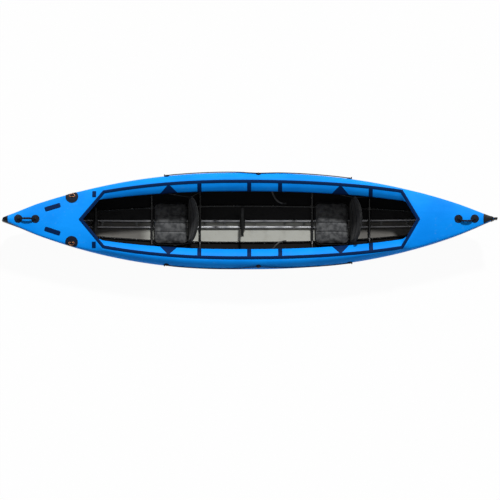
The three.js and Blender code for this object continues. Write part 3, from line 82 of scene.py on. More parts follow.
camera_data = bpy.data.cameras.new("camera")
camera_data.lens = LENS
camera_data.sensor_width = SENSOR
camera_data.clip_end = 100
camera = bpy.data.objects.new("camera", camera_data)
turn = Matrix((Vector((1, 0, 0)), picture_up, picture_back)).transposed().to_4x4()
camera.matrix_world = Matrix.Translation(aim + distance * picture_back) @ turn
bpy.context.collection.objects.link(camera)
bpy.context.scene.camera = camera
bpy.context.scene.view_settings.view_transform = "Standard"
print("camera distance:", round(distance, 2))

# %% [markdown]
# ## Lines of the boat
# A boat is drawn from a few long lines: half the beam, the keel, the seam between the two
# skins and the top of the deck. Each is a plain function of the place x along the boat, so
# the fine skins here follow the same lines as the frame does, only with many more stations.

# %% Lines along the boat
BOW_X, STERN_X, WIDEST_X = -2.150, 2.122, -0.084
HALF_BEAM, STEM_HALF_WIDTH, STEM_ZONE = 0.424, 0.011, 0.300
BOW_END = {"x": BOW_X, "nose": 0.51, "rake": 0.109, "setback": 0.052, "inboard": 1}
STERN_END = {"x": STERN_X, "nose": 0.782, "rake": 0.150, "setback": 0.024, "inboard": -1}

# Each pair is for the bow and the stern. A higher curve keeps a line straight for longer.
BEAM_CURVES = 2.2, 2.4
FLAT_KEEL = -0.864, 0.695
KEEL_RISES, KEEL_CURVES = (0.125, 0.157), (2, 1.4)
SEAM_LEVEL, SEAM_RISES, SEAM_CURVES = 0.150, (0.255, 0.232), (3, 3.6)
TOP_LEVEL, TOP_RISES, TOP_CURVES = 0.347, (0.088, 0.082), (4.9, 4)


def clamp(value, low=0.0, high=1.0):
    return max(low, min(high, value))


def mix(a, b, share):
    return a + (b - a) * share


def towards_bow(x):
    return clamp((WIDEST_X - x) / (WIDEST_X - BOW_X))


def towards_stern(x):
    return clamp((x - WIDEST_X) / (STERN_X - WIDEST_X))


def beam(x):
    bow, stern = towards_bow(x) ** BEAM_CURVES[0], towards_stern(x) ** BEAM_CURVES[1]
    return mix(HALF_BEAM, STEM_HALF_WIDTH, bow if x < WIDEST_X else stern)


def risen(bow, stern, rises, curves):
    """How far a line has risen at a place that is this near to the bow and to the stern."""
    return rises[0] * bow ** curves[0] + rises[1] * stern ** curves[1]


def keel(x):
    bow = clamp((FLAT_KEEL[0] - x) / (FLAT_KEEL[0] - BOW_X))
    stern = clamp((x - FLAT_KEEL[1]) / (STERN_X - FLAT_KEEL[1]))
    return risen(bow, stern, KEEL_RISES, KEEL_CURVES)


def seam(x):
    return SEAM_LEVEL + risen(towards_bow(x), towards_stern(x), SEAM_RISES, SEAM_CURVES)


def top(x):
    return TOP_LEVEL + risen(towards_bow(x), towards_stern(x), TOP_RISES, TOP_CURVES)


print("beam, keel, seam and top amidships:", [round(line(0), 3) for line in (beam, keel, seam, top)])

# %% [markdown]
# ## Stems and the outline of the cockpit
# At both ends the long lines meet on the curved profile of the stem, so a point near an end
# is drawn in to that profile. The cockpit is a long hexagon: a strip along each side, cut
# off by two slanted lines towards the bow and two towards the stern. Inside the strip lies a
# sloping band of cloth, which ends over the gunwale.

# %% Stems and the outline of the cockpit
BOW_TIP_X, STERN_TIP_X = -1.479, 1.485
BOW_SLOPE, STERN_SLOPE = 1.2, 1.72
STRIP_WIDTH = 0.027
BOW_STRIP_REACH = STRIP_WIDTH * math.hypot(1, 1 / BOW_SLOPE)
STERN_STRIP_REACH = STRIP_WIDTH * math.hypot(1, 1 / STERN_SLOPE)
STRIP_SHARE, STRIP_FLARE = 0.79, 0.11
GUNWALE_SHARE = 0.6
BAND_SLOPE = 0.6


def stem_point(end, degrees):
    """The stem's profile from the keel at -90 degrees to the deck at 90."""
    angle = math.radians(degrees)
    back = (end["rake"] if angle < 0 else end["setback"]) * (1 - math.cos(angle))
    keel_end = keel(end["x"] + end["inboard"] * end["rake"])
    deck_end = top(end["x"] + end["inboard"] * end["setback"])
    nose = mix(keel_end, deck_end, end["nose"])
    reach = nose - keel_end if angle < 0 else deck_end - nose
    return end["x"] + end["inboard"] * back, nose + reach * math.sin(angle)


def placed(x, width, height, stem_angle):
    """A point of a long line, drawn in to the stem's profile near the ends of the boat."""
    end = BOW_END if x < WIDEST_X else STERN_END
    near = clamp(1 - abs(x - end["x"]) / STEM_ZONE)
    stem_x, stem_z = stem_point(end, stem_angle)
    line_x = x + (stem_x - end["x"]) * near
    return Vector((line_x, width, height(line_x) + (stem_z - height(stem_x)) * near ** 2))


def within_tips(x, inset, side):
    """A width cut off by the cockpit's slanted ends. inset is 0 outside the strip and 1 inside."""
    bow = (x - BOW_TIP_X - inset * BOW_STRIP_REACH) * BOW_SLOPE
    stern = (STERN_TIP_X - inset * STERN_STRIP_REACH - x) * STERN_SLOPE
    return max(0.0, min(bow, side, stern))


def strip_line(x):
    return beam(x) * (STRIP_SHARE + STRIP_FLARE * clamp(x / STERN_TIP_X) ** 3)


def strip_outer(x):
    return within_tips(x, 0, strip_line(x) + STRIP_WIDTH / 2)


def strip_inner(x):
    return within_tips(x, 1, strip_line(x) - STRIP_WIDTH / 2)


def opening(x):
    return min(strip_inner(x), GUNWALE_SHARE * beam(x))


def band_height(x, y):
    return top(x) - BAND_SLOPE * (strip_inner(x) - y)


print("opening is", round(2 * opening(0), 3), "m wide amidships")

# %% [markdown]
# ## Soft lines and round bends
# A few points say enough about a curve when a soft line is drawn through them. Cloth over a
# tube is something else: it is straight up to the tube and then bends at once. So there are
# two helpers, one that goes through every point and one that rounds each corner a little.

# %% Soft and eased lines through points
SIDE_IN_BENDS = 2.2


def smooth_through(points, steps, after=None):
    """A soft curve through all the points, with some steps between each pair."""
    last = after or 2 * points[-1] - points[-2]
    chain = [2 * points[0] - points[1], *points, last]
    curve = []
    for a, b, c, d in zip(chain, chain[1:], chain[2:], chain[3:]):
        for k in range(steps):
            t = k / steps
            square = 2 * a - 5 * b + 4 * c - d
            cube = 3 * b - a - 3 * c + d
            curve.append(0.5 * (2 * b + (c - a) * t + square * t ** 2 + cube * t ** 3))
    return [*curve, points[-1].copy()]


def round_turn(a, b, c, t):
    """A place on the soft turn from a to c that is drawn towards b, at a share t of it."""
    return (1 - t) ** 2 * a + 2 * t * (1 - t) * b + t * t * c


def eased(points, reach, steps=3):
    """The same line with a short round bend in place of each corner."""
    line = [points[0].copy()]
    for a, b, c in zip(points, points[1:], points[2:]):
        short = min(reach, (a - b).length / SIDE_IN_BENDS, (c - b).length / SIDE_IN_BENDS)
        enter = b + (a - b).normalized() * short
        leave = b + (c - b).normalized() * short
        line += [round_turn(enter, b, leave, k / steps) for k in range(steps + 1)]
    return [*line, points[-1].copy()]


corner = eased([Vector((0, 0, 0)), Vector((1, 0, 0)), Vector((1, 1, 0))], 0.1)
print("one corner becomes", len(corner) - 2, "points")

# %% [markdown]
# ## Cross-section of the hull
# The hull is cloth over long tubes, so its section is a chain of nearly flat panels that
# bend over the keelson, the chine, the side stringer and the air tube. Each corner is given
# as a share of the boat's width and of the rise from keel to seam, and as the angle at which
# its line comes in to the stem.

# %% Cross-section of the hull
CHINE_WIDTHS, CHINE_RISE, CHINE_ANGLE = (0.39, 0.5), 0.14, -62
SIDE_CORNER, BILGE_CORNER, SEAM_CORNER = (0.78, 0.5, -25), (0.89, 0.71, 0), (0.962, 1, 55)
HULL_BEND = 0.028
FLOOR_COLUMNS = 3


def hull_corners(x):
    """Keel, chine, side, bilge and seam at a station."""
    fine = max(towards_bow(x), towards_stern(x)) ** 3

    def at(width_share, rise_share, angle):
        return placed(x, width_share * beam(x), lambda u: mix(keel(u), seam(u), rise_share), angle)

    chine = at(mix(*CHINE_WIDTHS, fine), CHINE_RISE * fine, CHINE_ANGLE)
    return [at(0, 0, -90), chine, at(*SIDE_CORNER), at(*BILGE_CORNER), at(*SEAM_CORNER)]


def hull_profile(x):
    return eased(hull_corners(x), HULL_BEND, 4)


print("points across half of the hull:", len(hull_profile(0)))

# %% [markdown]
# ## Cross-section of the deck
# From the seam the deck goes up round the air tube and over to the strip. Inside the strip
# the band falls towards the gunwale, with a little bulge, and its edge turns down as a lip.
# The side is one soft line, because air pushes it out, and the rim is an eased corner.

# %% Cross-section of the deck
DECK_SIDE = [(0.962, 0, 55), (1, 0.42, 65), (0.985, 0.7, 73), (0.943, 0.85, 78)]
DECK_SHOULDER = [(1 / 3, 83), (2 / 3, 87)]
BAND_BULGE = 0.08
LIP_DEPTH, FULL_LIP_FROM = 0.014, 0.11
RIM_BEND = 0.006


def deck_corners(x):
    """The side from the seam up to the strip round the cockpit."""
    rows = []
    for width, rise, angle in DECK_SIDE:
        rows.append(placed(x, width * beam(x), lambda u, r=rise: mix(seam(u), top(u), r), angle))
    side_width, side_rise, _ = DECK_SIDE[-1]
    for share, angle in DECK_SHOULDER:
        rise = mix(side_rise, 1, 1 - (1 - share) ** 2)
        width = mix(side_width * beam(x), strip_outer(x), share)
        rows.append(placed(x, width, lambda u, r=rise: mix(seam(u), top(u), r), angle))
    return [*rows, placed(x, strip_outer(x), top, 90)]


def deck_profile(x):
    """Half of the deck's outline, from the seam over the strip and the band to the lip."""
    corners = deck_corners(x)
    outer, last = corners[-1], corners[-2]
    level = Vector((last.x, 2 * outer.y - last.y, last.z))
    side = smooth_through(corners, 4, after=level)
    inner, edge = strip_inner(x), opening(x)
    middle = (inner + edge) / 2
    bulge = BAND_BULGE * (inner - edge)
    lip = LIP_DEPTH * clamp(edge / FULL_LIP_FROM)
    inner_point = placed(x, inner, top, 90)
    strip = [(outer + inner_point) / 2]
    middle_point = placed(x, middle, lambda u: band_height(u, middle) + bulge, 90)
    edge_point = placed(x, edge, lambda u: band_height(u, edge), 90)
    lip_point = edge_point - Vector((0, 0, lip))
    band = smooth_through([inner_point, middle_point, edge_point], 3)
    rim = eased([band[-2], edge_point, lip_point], RIM_BEND, 3)[1:]
    return [*side, *strip, *band[:-1], *rim]


OUTER_COLUMN, INNER_COLUMN = 24, 26
LAST_COLUMN = len(deck_profile(0)) - 1
print("points across half of the deck:", LAST_COLUMN + 1)

# %% [markdown]
# ## Stations
# The skins are drawn at stations along the boat. They stand closer together towards the
# ends, where the lines curve most, and there is one wherever the strip has a corner or a
# cross-frame stands, so that the corners stay sharp. Stations right beside those are left
# out, because they would make slivers.

# %% Stations
FRAME_XS = [-1.557, -0.855, -0.431, 0.556, 1.059, 1.578]
STATION_COUNT, STATION_CROWDING, STATION_GAP = 150, 0.6, 0.008


def bend_of_strip(low, high, inset):
    """Where the strip leaves its tip and begins to run along the side."""
    def side_left(x):
        line = strip_line(x) + STRIP_WIDTH / 2 * (1 - 2 * inset)
        return line - within_tips(x, inset, line) > 1e-6

    for _ in range(40):
        middle = (low + high) / 2
        low, high = (middle, high) if side_left(middle) else (low, middle)
    return (low + high) / 2


def build_stations():
    spaced = []
    for i in range(STATION_COUNT + 1):
        even = mix(BOW_X, STERN_X, i / STATION_COUNT)
        crowded = mix(BOW_X, STERN_X, (1 - math.cos(math.pi * i / STATION_COUNT)) / 2)
        spaced.append(mix(even, crowded, STATION_CROWDING))
    features = [*FRAME_XS, BOW_TIP_X, STERN_TIP_X]
    features += [BOW_TIP_X + BOW_STRIP_REACH, STERN_TIP_X - STERN_STRIP_REACH]
    for inset in (0, 1):
        features.append(bend_of_strip(BOW_TIP_X + 0.001, 0, inset))
        features.append(bend_of_strip(STERN_TIP_X - 0.001, 0, inset))
    clear = [x for x in spaced[1:-1] if all(abs(x - f) > STATION_GAP for f in features)]
    return sorted([spaced[0], *clear, spaced[-1], *features])


stations = build_stations()
print("stations:", len(stations))

# %% [markdown]
# ## Small tools for meshes
# Nearly every piece is one of four things: a grid of points, a tube along a line, a ribbon
# of webbing, or a patch that is laid on a skin. One helper for each keeps the later cells
# short. A patch is found by casting rays at the skin, so that it lies on it whatever the
# curve is, and gets its thickness from a Solidify modifier.

# %% Mesh helpers
def added(name, data):
    piece = bpy.data.objects.new(name, data)
    bpy.context.collection.objects.link(piece)
    return piece


def add_mesh(name, points, faces, *materials, smooth=True):
    mesh = bpy.data.meshes.new(name)
    mesh.from_pydata([tuple(p) for p in points], [], faces)
    for polygon in mesh.polygons:
        polygon.use_smooth = smooth
    for material in materials:
        mesh.materials.append(material)
    return added(name, mesh)


def grid_faces(rows, columns, start=0, flip=False, wrap=False):
    faces = []
    for i in range(rows - 1):
        for j in range(columns if wrap else columns - 1):
            a, b = start + i * columns + j, start + i * columns + (j + 1) % columns
            quad = (a, b, b + columns, a + columns)
            faces.append(quad[::-1] if flip else quad)
    return faces


def welded(piece, gap=2e-5):
    """Joins points that share a place and drops faces that have no area."""
    work = bmesh.new()
    work.from_mesh(piece.data)
    bmesh.ops.remove_doubles(work, verts=work.verts, dist=gap)
    bmesh.ops.dissolve_degenerate(work, edges=work.edges, dist=gap)
    work.to_mesh(piece.data)
    work.free()
    return piece


def baked(piece):
    """Applies the piece's modifiers to its mesh."""
    graph = bpy.context.evaluated_depsgraph_get()
    mesh = bpy.data.meshes.new_from_object(piece.evaluated_get(graph))
    piece.modifiers.clear()
    piece.data = mesh
    return piece


def thickened(piece, thickness, offset, bevel=0.0, **settings):
    solid = piece.modifiers.new("thickness", "SOLIDIFY")
    solid.thickness = thickness
    solid.offset = offset
    for name, value in settings.items():
        setattr(solid, name, value)
    if bevel:
        edge = piece.modifiers.new("edge", "BEVEL")
        edge.width = bevel
        edge.segments = 2
        edge.angle_limit = math.radians(50)
    return baked(piece)


def lofted(name, points, columns, *materials, flip=True, capped=True):
    """A skin over rings of this many points, with a face over the first and the last ring."""
    faces = grid_faces(len(points) // columns, columns, wrap=True, flip=flip)
    first, last = tuple(range(columns)), tuple(range(len(points) - columns, len(points)))
    if capped:
        faces += [first, last[::-1]] if flip else [first[::-1], last]
    return add_mesh(name, points, faces, *materials)


print("a grid of 3 by 4 points has", len(grid_faces(3, 4)), "faces")

# %% [markdown]
# ## Tubes and ribbons
# Rope, wire, hoses and straps all follow a path. At each of its points a small frame says
# which way is along, across and up, and it is carried from point to point so that nothing
# twists. A ring of points in that frame makes a tube, and four points make a flat ribbon.

# %% Tubes and ribbons
NEARLY_PARALLEL = 0.95


def frames_along(path, up=Vector((0, 0, 1))):
    """Unit vectors along, across and up at each point of a path, carried along untwisted."""
    steps = [(b - a).normalized() for a, b in zip(path, path[1:])]
    pairs = zip([steps[0], *steps], [*steps, steps[-1]])
    result = []
    for way in [(before + after).normalized() for before, after in pairs]:
        if abs(way.dot(up)) > NEARLY_PARALLEL:
            up = Vector((1, 0, 0)) if abs(way.x) < 0.9 else Vector((0, 1, 0))
        up = (up - way * up.dot(way)).normalized()
        result.append((way, way.cross(up), up))
    return result


def tube(name, path, radius, *materials, sides=16, capped=True):
    radii = radius if isinstance(radius, list) else [radius] * len(path)
    points = []
    for place, size, (_, across, up) in zip(path, radii, frames_along(path)):
        for k in range(sides):
            angle = 2 * math.pi * k / sides
            points.append(place + size * (math.cos(angle) * across + math.sin(angle) * up))
    return lofted(name, points, sides, *materials, capped=capped)


def ribbon(name, path, sides_out, width, thickness, *materials):
    """A strap along a path. sides_out says for each point which way its flat side faces."""
    points = []
    for place, (way, _, _), face in zip(path, frames_along(path), sides_out):
        out = (face - way * face.dot(way)).normalized()
        across = way.cross(out)
        for a, b in [(-1, -1), (-0.9, 1), (0.9, 1), (1, -1)]:
            points.append(place + across * (a * width / 2) + out * (b * thickness / 2))
    return lofted(name, points, 4, *materials)


def joined(name, pieces):
    """Makes one object of several meshes."""
    work = bmesh.new()
    materials = []
    for piece in pieces:
        mesh = piece.data
        moved = mesh.copy()
        moved.transform(piece.matrix_world)
        shift = []
        for material in mesh.materials:
            if material not in materials:
                materials.append(material)
            shift.append(materials.index(material))
        for polygon in moved.polygons:
            polygon.material_index = shift[polygon.material_index] if shift else 0
        work.from_mesh(moved)
        bpy.data.objects.remove(piece)
    bmesh.ops.recalc_face_normals(work, faces=work.faces)
    mesh = bpy.data.meshes.new(name)
    work.to_mesh(mesh)
    work.free()
    for material in materials:
        mesh.materials.append(material)
    return added(name, mesh)


_, level_across, level_up = frames_along([Vector((0, 0, 0)), Vector((1, 0, 0))])[0]
print("a level path has its side towards", tuple(level_across), "and its back", tuple(level_up))

# %% [markdown]
# ## Shader maths
# A finish is easier to read as sums and products than as boxes and lines. The class below
# wraps one socket of a material, and arithmetic on it adds the Math nodes. All the finishes
# take their place from Object coordinates, which here are metres on the boat at rest, so a
# weave of 2 mm is written as 2 mm.

# %% The wire class
class Wire:
    """A socket of a material. Sums and products of wires add Math nodes behind them."""

    def __init__(self, tree, socket=None):
        self.tree = tree
        self.socket = socket

    def node(self, kind, settings=None, sockets=None, out=0):
        made = self.tree.nodes.new("ShaderNode" + kind)
        for name, value in (settings or {}).items():
            setattr(made, name, value)
        for key, value in (sockets or {}).items():
            if isinstance(value, Wire):
                self.tree.links.new(value.socket, made.inputs[key])
            else:
                made.inputs[key].default_value = value
        return Wire(self.tree, made.outputs[out] if made.outputs else None)

    def math(self, operation, first, second=0.0):
        return self.node("Math", {"operation": operation}, {0: first, 1: second})

    def __add__(self, other):
        return self.math("ADD", self, other)

    __radd__ = __add__

    def __sub__(self, other):
        return self.math("SUBTRACT", self, other)

    def __rsub__(self, other):
        return self.math("SUBTRACT", other, self)

    def __mul__(self, other):
        return self.math("MULTIPLY", self, other)

    __rmul__ = __mul__

    def wave(self, period):
        """A sine over this length, from 0 to 1."""
        return self.math("SINE", self * (2 * math.pi / period)) * 0.5 + 0.5

    def between(self, low, high):
        """0 below low and 1 above high, with a soft step between them."""
        return self.node("MapRange", {"interpolation_type": "SMOOTHSTEP"}, {0: self, 1: low, 2: high})

    def along(self, direction):
        return self.node("VectorMath", {"operation": "DOT_PRODUCT"}, {0: self, 1: direction}, out="Value")

    def stretched(self, scale):
        return self.node("VectorMath", {"operation": "MULTIPLY"}, {0: self, 1: scale})

    def noise(self, scale, detail=3.0):
        return self.node("TexNoise", {}, {"Vector": self, "Scale": scale, "Detail": detail})

    def blend(self, a, b):
        """Colour a where this mask is 0 and b where it is 1."""
        return self.node("Mix", {"data_type": "RGBA"}, {0: self, 6: a, 7: b}, out=2)


print("a wire can also:", ", ".join(name for name in vars(Wire) if not name.startswith("_")))

# %% [markdown]
# ## Colours and the shell of a finish
# Colours are written as they are read from a picture and turned into light. Every finish has
# the same shell: coordinates in front and the Principled shader behind, with a Bump node
# where there is relief. Only what lies between them differs, and each function below says it.

# %% Colours and the shell of a finish
STERNWARD, STARBOARD, UP = (1, 0, 0), (0, 1, 0), (0, 0, 1)


def rgb(red, green, blue):
    """A colour as a picture stores it, turned into the light that a shader works with."""
    def light(value):
        share = value / 255
        return share / 12.92 if share <= 0.04045 else ((share + 0.055) / 1.055) ** 2.4

    return (light(red), light(green), light(blue), 1.0)


def blank(data):
    """The emptied node tree of a material or a world, as a wire to build from."""
    data.use_nodes = True
    data.node_tree.nodes.clear()
    return Wire(data.node_tree)


def finish(name, build):
    material = bpy.data.materials.new(name)
    place = blank(material).node("TexCoord", out="Object")
    sockets = build(place)
    relief = sockets.pop("relief", None)
    if relief:
        height, depth = relief
        sockets["Normal"] = place.node("Bump", {}, {"Strength": 1.0, "Distance": depth, "Height": height})
    shader = place.node("BsdfPrincipled", {}, sockets)
    place.node("OutputMaterial", {}, {"Surface": shader})
    print(name, "has", len(material.node_tree.nodes), "nodes")
    return material


def weave(place, period):
    """Threads over and under each other, on surfaces that face any way."""
    return place.along(STERNWARD).wave(period) * place.along((0, 0.8, 0.6)).wave(period)


def over(place, low, high):
    """0 towards the bow of a band across the boat and 1 towards the stern of it."""
    return place.along(STERNWARD).between(low, high)


print("mid grey as light:", round(rgb(128, 128, 128)[0], 3))

# %% [markdown]
# ## Finishes of the cloths
# The deck is a coated cloth: smooth and even, with a fine weave under the coating, soft
# creases where it is stretched and a little dust. Its foremost bit, the toe, is dark. Noise
# in metres makes all of it, so nothing has to be painted or unwrapped.

# %% Deck cloth
TOE_EDGE = -2.090, -2.086


def deck_cloth(place):
    cloud = place.noise(3.5, 4)
    dust = place.noise(38).between(0.56, 0.8) * place.noise(5).between(0.4, 0.7)
    crease = place.stretched((3.0, 9.0, 9.0)).noise(1.0, 2)
    even = cloud.between(0.3, 0.72).blend(rgb(4, 138, 244), rgb(10, 150, 255))
    dusty = (dust * 0.18).blend(even, rgb(120, 178, 226))
    toe = 1 - over(place, *TOE_EDGE)
    return {
        "Base Color": toe.blend(dusty, rgb(12, 13, 15)),
        "Roughness": 0.46 + dust * 0.2 + cloud * 0.06,
        "Specular IOR Level": 0.06,
        "relief": (crease + weave(place, 0.0016) * 0.03, 0.004),
    }


deck_finish = finish("deck_cloth", deck_cloth)

# %% [markdown]
# ## Hull cloth and its lining
# The hull is a thicker black cloth that has been dragged over sand, so its bottom carries
# pale scratches along the boat. Inside, the floor has a grey lining with painted shade on it:
# it is darker towards both ends, ahead of the front seat and behind the rear seat, and a
# painted shadow turns it black to starboard. The rest of the inner side is plain black.

# %% Hull cloth and its lining
SCUFFED_BELOW = 0.03, 0.17
# Where the lining's painted shade lies: darker towards both ends, and black beyond an edge to starboard.
SHADED_FLOOR_FORE, SHADED_FLOOR_AFT = (-0.98, -0.82), (0.9, 0.99)
PAINTED_SHADOW_EDGE = 0.014, 0.019


def hull_cloth(place):
    scratch = place.stretched((1.5, 55.0, 55.0)).noise(1.0, 5).between(0.56, 0.68)
    low = 1 - place.along(UP).between(*SCUFFED_BELOW)
    worn = scratch * low * place.noise(4).between(0.4, 0.62)
    crease = place.stretched((3.0, 10.0, 10.0)).noise(1.0, 2)
    return {
        "Base Color": (worn * 0.5).blend(rgb(17, 18, 20), rgb(92, 94, 96)),
        "Roughness": 0.36 + worn * 0.3,
        "Specular IOR Level": 0.25,
        "relief": (crease + scratch * low * 0.05 + weave(place, 0.0018) * 0.03, 0.003),
    }


def lining_cloth(place):
    """Grey, with painted shade: darker towards both ends, and black to starboard of the keelson's middle as a
    painted shadow.
    """
    stain = place.noise(9, 5).between(0.5, 0.75)
    sand = place.noise(220, 2).between(0.62, 0.72)
    pale = (stain * 0.35).blend(rgb(172, 173, 166), rgb(126, 124, 115))
    # Painted shade: the lining darkens ahead of the front seat and behind the rear seat.
    ends = over(place, *SHADED_FLOOR_AFT) + (1 - over(place, *SHADED_FLOOR_FORE))
    end_shaded = (ends * 0.85).blend(pale, rgb(82, 79, 77))
    grey = (sand * 0.4).blend(end_shaded, rgb(140, 122, 95))
    return {
        # Painted shadow: the lining turns black to starboard of this edge.
        "Base Color": place.along(STARBOARD).between(*PAINTED_SHADOW_EDGE).blend(grey, rgb(14, 14, 15)),
        "Roughness": 0.62 + stain * 0.15,
        "Specular IOR Level": 0.1,
        "relief": (weave(place, 0.002) * 0.1 + place.noise(14) * 0.6, 0.002),
    }


def inner_cloth(place):
    return {
        "Base Color": place.noise(7).blend(rgb(8, 8, 9), rgb(16, 16, 17)),
        "Roughness": 0.6 + place.noise(30) * 0.1,
        "Specular IOR Level": 0.05,
        "relief": (weave(place, 0.002) * 0.1 + place.noise(11) * 0.6, 0.002),
    }


hull_finish = finish("hull_cloth", hull_cloth)
lining_finish = finish("floor_lining", lining_cloth)
inner_finish = finish("hull_inner_side", inner_cloth)

# %% [markdown]
# ## Trim, pads and the air tubes' cloth
# The strip and its ties are navy cloth, welded on and rubbed paler in places. The pads under
# rings and ropes are nearly black. The air tubes are a black cloth with creases across them,
# as a tube gets where it is bent along the boat's side.

# %% Welded trim, pads and patches
def trim_cloth(place):
    rub = place.noise(26, 4).between(0.55, 0.75)
    return {
        "Base Color": (rub * 0.2).blend(rgb(0, 32, 76), rgb(20, 58, 104)),
        "Roughness": 0.5 + rub * 0.2,
        "Specular IOR Level": 0.05,
        "relief": (weave(place, 0.0022) * 0.25 + place.noise(60) * 0.3, 0.0006),
    }


def patch_cloth(place):
    rub = place.noise(40, 4).between(0.55, 0.75)
    return {
        "Base Color": (rub * 0.3).blend(rgb(8, 18, 34), rgb(44, 54, 70)),
        "Roughness": 0.5 + rub * 0.2,
        "Specular IOR Level": 0.1,
        "relief": (weave(place, 0.0024) * 0.3 + place.noise(80) * 0.3, 0.0006),
    }


def sponson_cloth(place):
    crease = place.stretched((14.0, 4.0, 4.0)).noise(1.0, 3)
    return {
        "Base Color": place.noise(6).blend(rgb(12, 12, 13), rgb(24, 25, 26)),
        "Roughness": 0.5 + place.noise(18) * 0.12,
        "Specular IOR Level": 0.08,
        "relief": (crease + weave(place, 0.002) * 0.04, 0.004),
    }


trim_finish = finish("trim_cloth", trim_cloth)
patch_finish = finish("patch_cloth", patch_cloth)
sponson_finish = finish("sponson_cloth", sponson_cloth)

# %% [markdown]
# ## Finishes of the seats, straps and rope
# Seat cloth is a coarse black weave with a soft sheen at grazing angles, which the Sheen
# sockets of the shader give. The backrests have a darker copy of it, which is painted shade,
# with a painted sheen along their upper edge. Webbing shows ribs across its length. The rope
# is laid from strands, and bands that run askew round its line are enough to show them.

# %% Seat cloth, webbing and rope
# The height above which the backrest gets its painted sheen.
SHEEN_ABOVE = 0.4, 0.43


def padded_cloth(place, dark, light):
    lint = place.noise(90, 3).between(0.58, 0.75)
    cloud = place.noise(26, 4).between(0.34, 0.66)
    return {
        "Base Color": (lint * 0.15).blend(cloud.blend(dark, light), rgb(120, 120, 118)),
        "Roughness": 0.74 + cloud * 0.12,
        "Sheen Weight": 0.08,
        "Sheen Roughness": 0.4,
        "Specular IOR Level": 0.15,
        "relief": (weave(place, 0.0028) * 0.5 + place.noise(45) * 0.5, 0.0012),
    }


def seat_cloth(place):
    return padded_cloth(place, rgb(58, 59, 61), rgb(96, 97, 98))


def backrest_shaded_cloth(place):
    """The seat cloth in darker colours, as painted shade, with a grey painted sheen along its upper edge,
    broken up by noise.
    """
    # Painted shade: the backrest is the seat cloth made darker.
    sockets = padded_cloth(place, rgb(9, 9, 10), rgb(22, 23, 25))
    # Painted sheen: grey along the upper edge, in patches.
    painted_sheen = place.along(UP).between(*SHEEN_ABOVE) * place.noise(24, 3).between(0.3, 0.6)
    sockets["Base Color"] = (painted_sheen * 0.35).blend(sockets["Base Color"], rgb(90, 90, 91))
    return sockets


def webbing_cloth(place):
    ribs = place.along((0.6, 0.6, 0.5)).wave(0.003)
    return {
        "Base Color": (ribs * 0.5).blend(rgb(14, 15, 16), rgb(34, 35, 37)),
        "Roughness": 0.6 + place.noise(60) * 0.15,
        "Specular IOR Level": 0.15,
        "relief": (ribs * 0.6 + place.noise(120) * 0.4, 0.0006),
    }


def rope_cloth(place):
    strands = place.along((1, 0.9, 0.9)).wave(0.0075)
    return {
        "Base Color": strands.blend(rgb(8, 16, 34), rgb(26, 42, 72)),
        "Roughness": 0.62 + strands * 0.1,
        "Specular IOR Level": 0.1,
        "relief": (strands + place.noise(400) * 0.2, 0.0012),
    }


seat_finish = finish("seat_cloth", seat_cloth)
# The backrest's cloth is a darker copy of the seat cloth, as painted shade.
backrest_shaded_finish = finish("backrest_shaded_cloth", backrest_shaded_cloth)
webbing_finish = finish("webbing", webbing_cloth)
rope_finish = finish("rope", rope_cloth)

# %% [markdown]
# ## Finishes of the hard parts
# The keelson is bare drawn alloy with fine streaks along it, and it is painted darker ahead
# of the front seat and behind the rear seat, as shade under the deck. Stringers, gunwales and
# cross-frames are coated dark and glossy, so they show as black lines with bright glints.
# The CAD tubes have few sides, and a Bevel node rounds them for the light without touching
# their mesh.

# %% Metals and plastics
# Where the alloy is painted darker, as shade under the deck at both ends.
TUBE_SHADE_FORE, TUBE_SHADE_AFT = (-0.98, -0.82), (0.95, 1.1)


def rounded_relief(place, height, depth, radius):
    soft = place.node("Bevel", {"samples": 4}, {"Radius": radius})
    return place.node("Bump", {}, {"Strength": 1.0, "Distance": depth, "Height": height, "Normal": soft})


def tube_alloy(place):
    streak = place.stretched((3.0, 260.0, 260.0)).noise(1.0, 3)
    dull = place.noise(12, 4).between(0.45, 0.7)
    # Painted shade: the alloy darkens ahead of the front seat and behind the rear seat.
    ends = over(place, *TUBE_SHADE_AFT) + (1 - over(place, *TUBE_SHADE_FORE))
    bare = dull.blend(rgb(164, 165, 168), rgb(134, 135, 139))
    return {
        "Base Color": (ends * 0.7).blend(bare, rgb(84, 84, 86)),
        "Metallic": 1.0,
        "Roughness": 0.5 + dull * 0.12 + streak * 0.1,
        "Normal": rounded_relief(place, streak, 0.0002, 0.005),
    }


def frame_coating(place):
    chip = place.noise(70, 4).between(0.66, 0.7)
    return {
        "Base Color": chip.blend(rgb(14, 15, 16), rgb(150, 152, 154)),
        "Roughness": 0.22 + place.noise(20) * 0.12,
        "Specular IOR Level": 0.2,
        "Coat Weight": 0.15 - chip * 0.15,
        "Normal": rounded_relief(place, place.noise(90), 0.0002, 0.004),
    }


def black_plastic(place):
    grain = place.node("TexVoronoi", {}, {"Vector": place, "Scale": 700.0})
    wear = place.noise(30, 4).between(0.55, 0.75)
    return {
        "Base Color": (wear * 0.4).blend(rgb(14, 15, 16), rgb(42, 43, 45)),
        "Roughness": 0.46 + wear * 0.15,
        "Specular IOR Level": 0.15,
        "Normal": rounded_relief(place, grain + place.noise(60) * 0.5, 0.0003, 0.0015),
    }


def grey_plastic(place):
    wear = place.noise(40, 4).between(0.5, 0.7)
    return {
        "Base Color": wear.blend(rgb(92, 93, 92), rgb(128, 128, 124)),
        "Roughness": 0.5 + wear * 0.15,
        "Specular IOR Level": 0.3,
        "relief": (place.noise(160), 0.0003),
    }


rung_finish = finish("grey_plastic", grey_plastic)
alloy_finish = finish("tube_alloy", tube_alloy)
coated_finish = finish("frame_coating", frame_coating)
plastic_finish = finish("black_plastic", black_plastic)

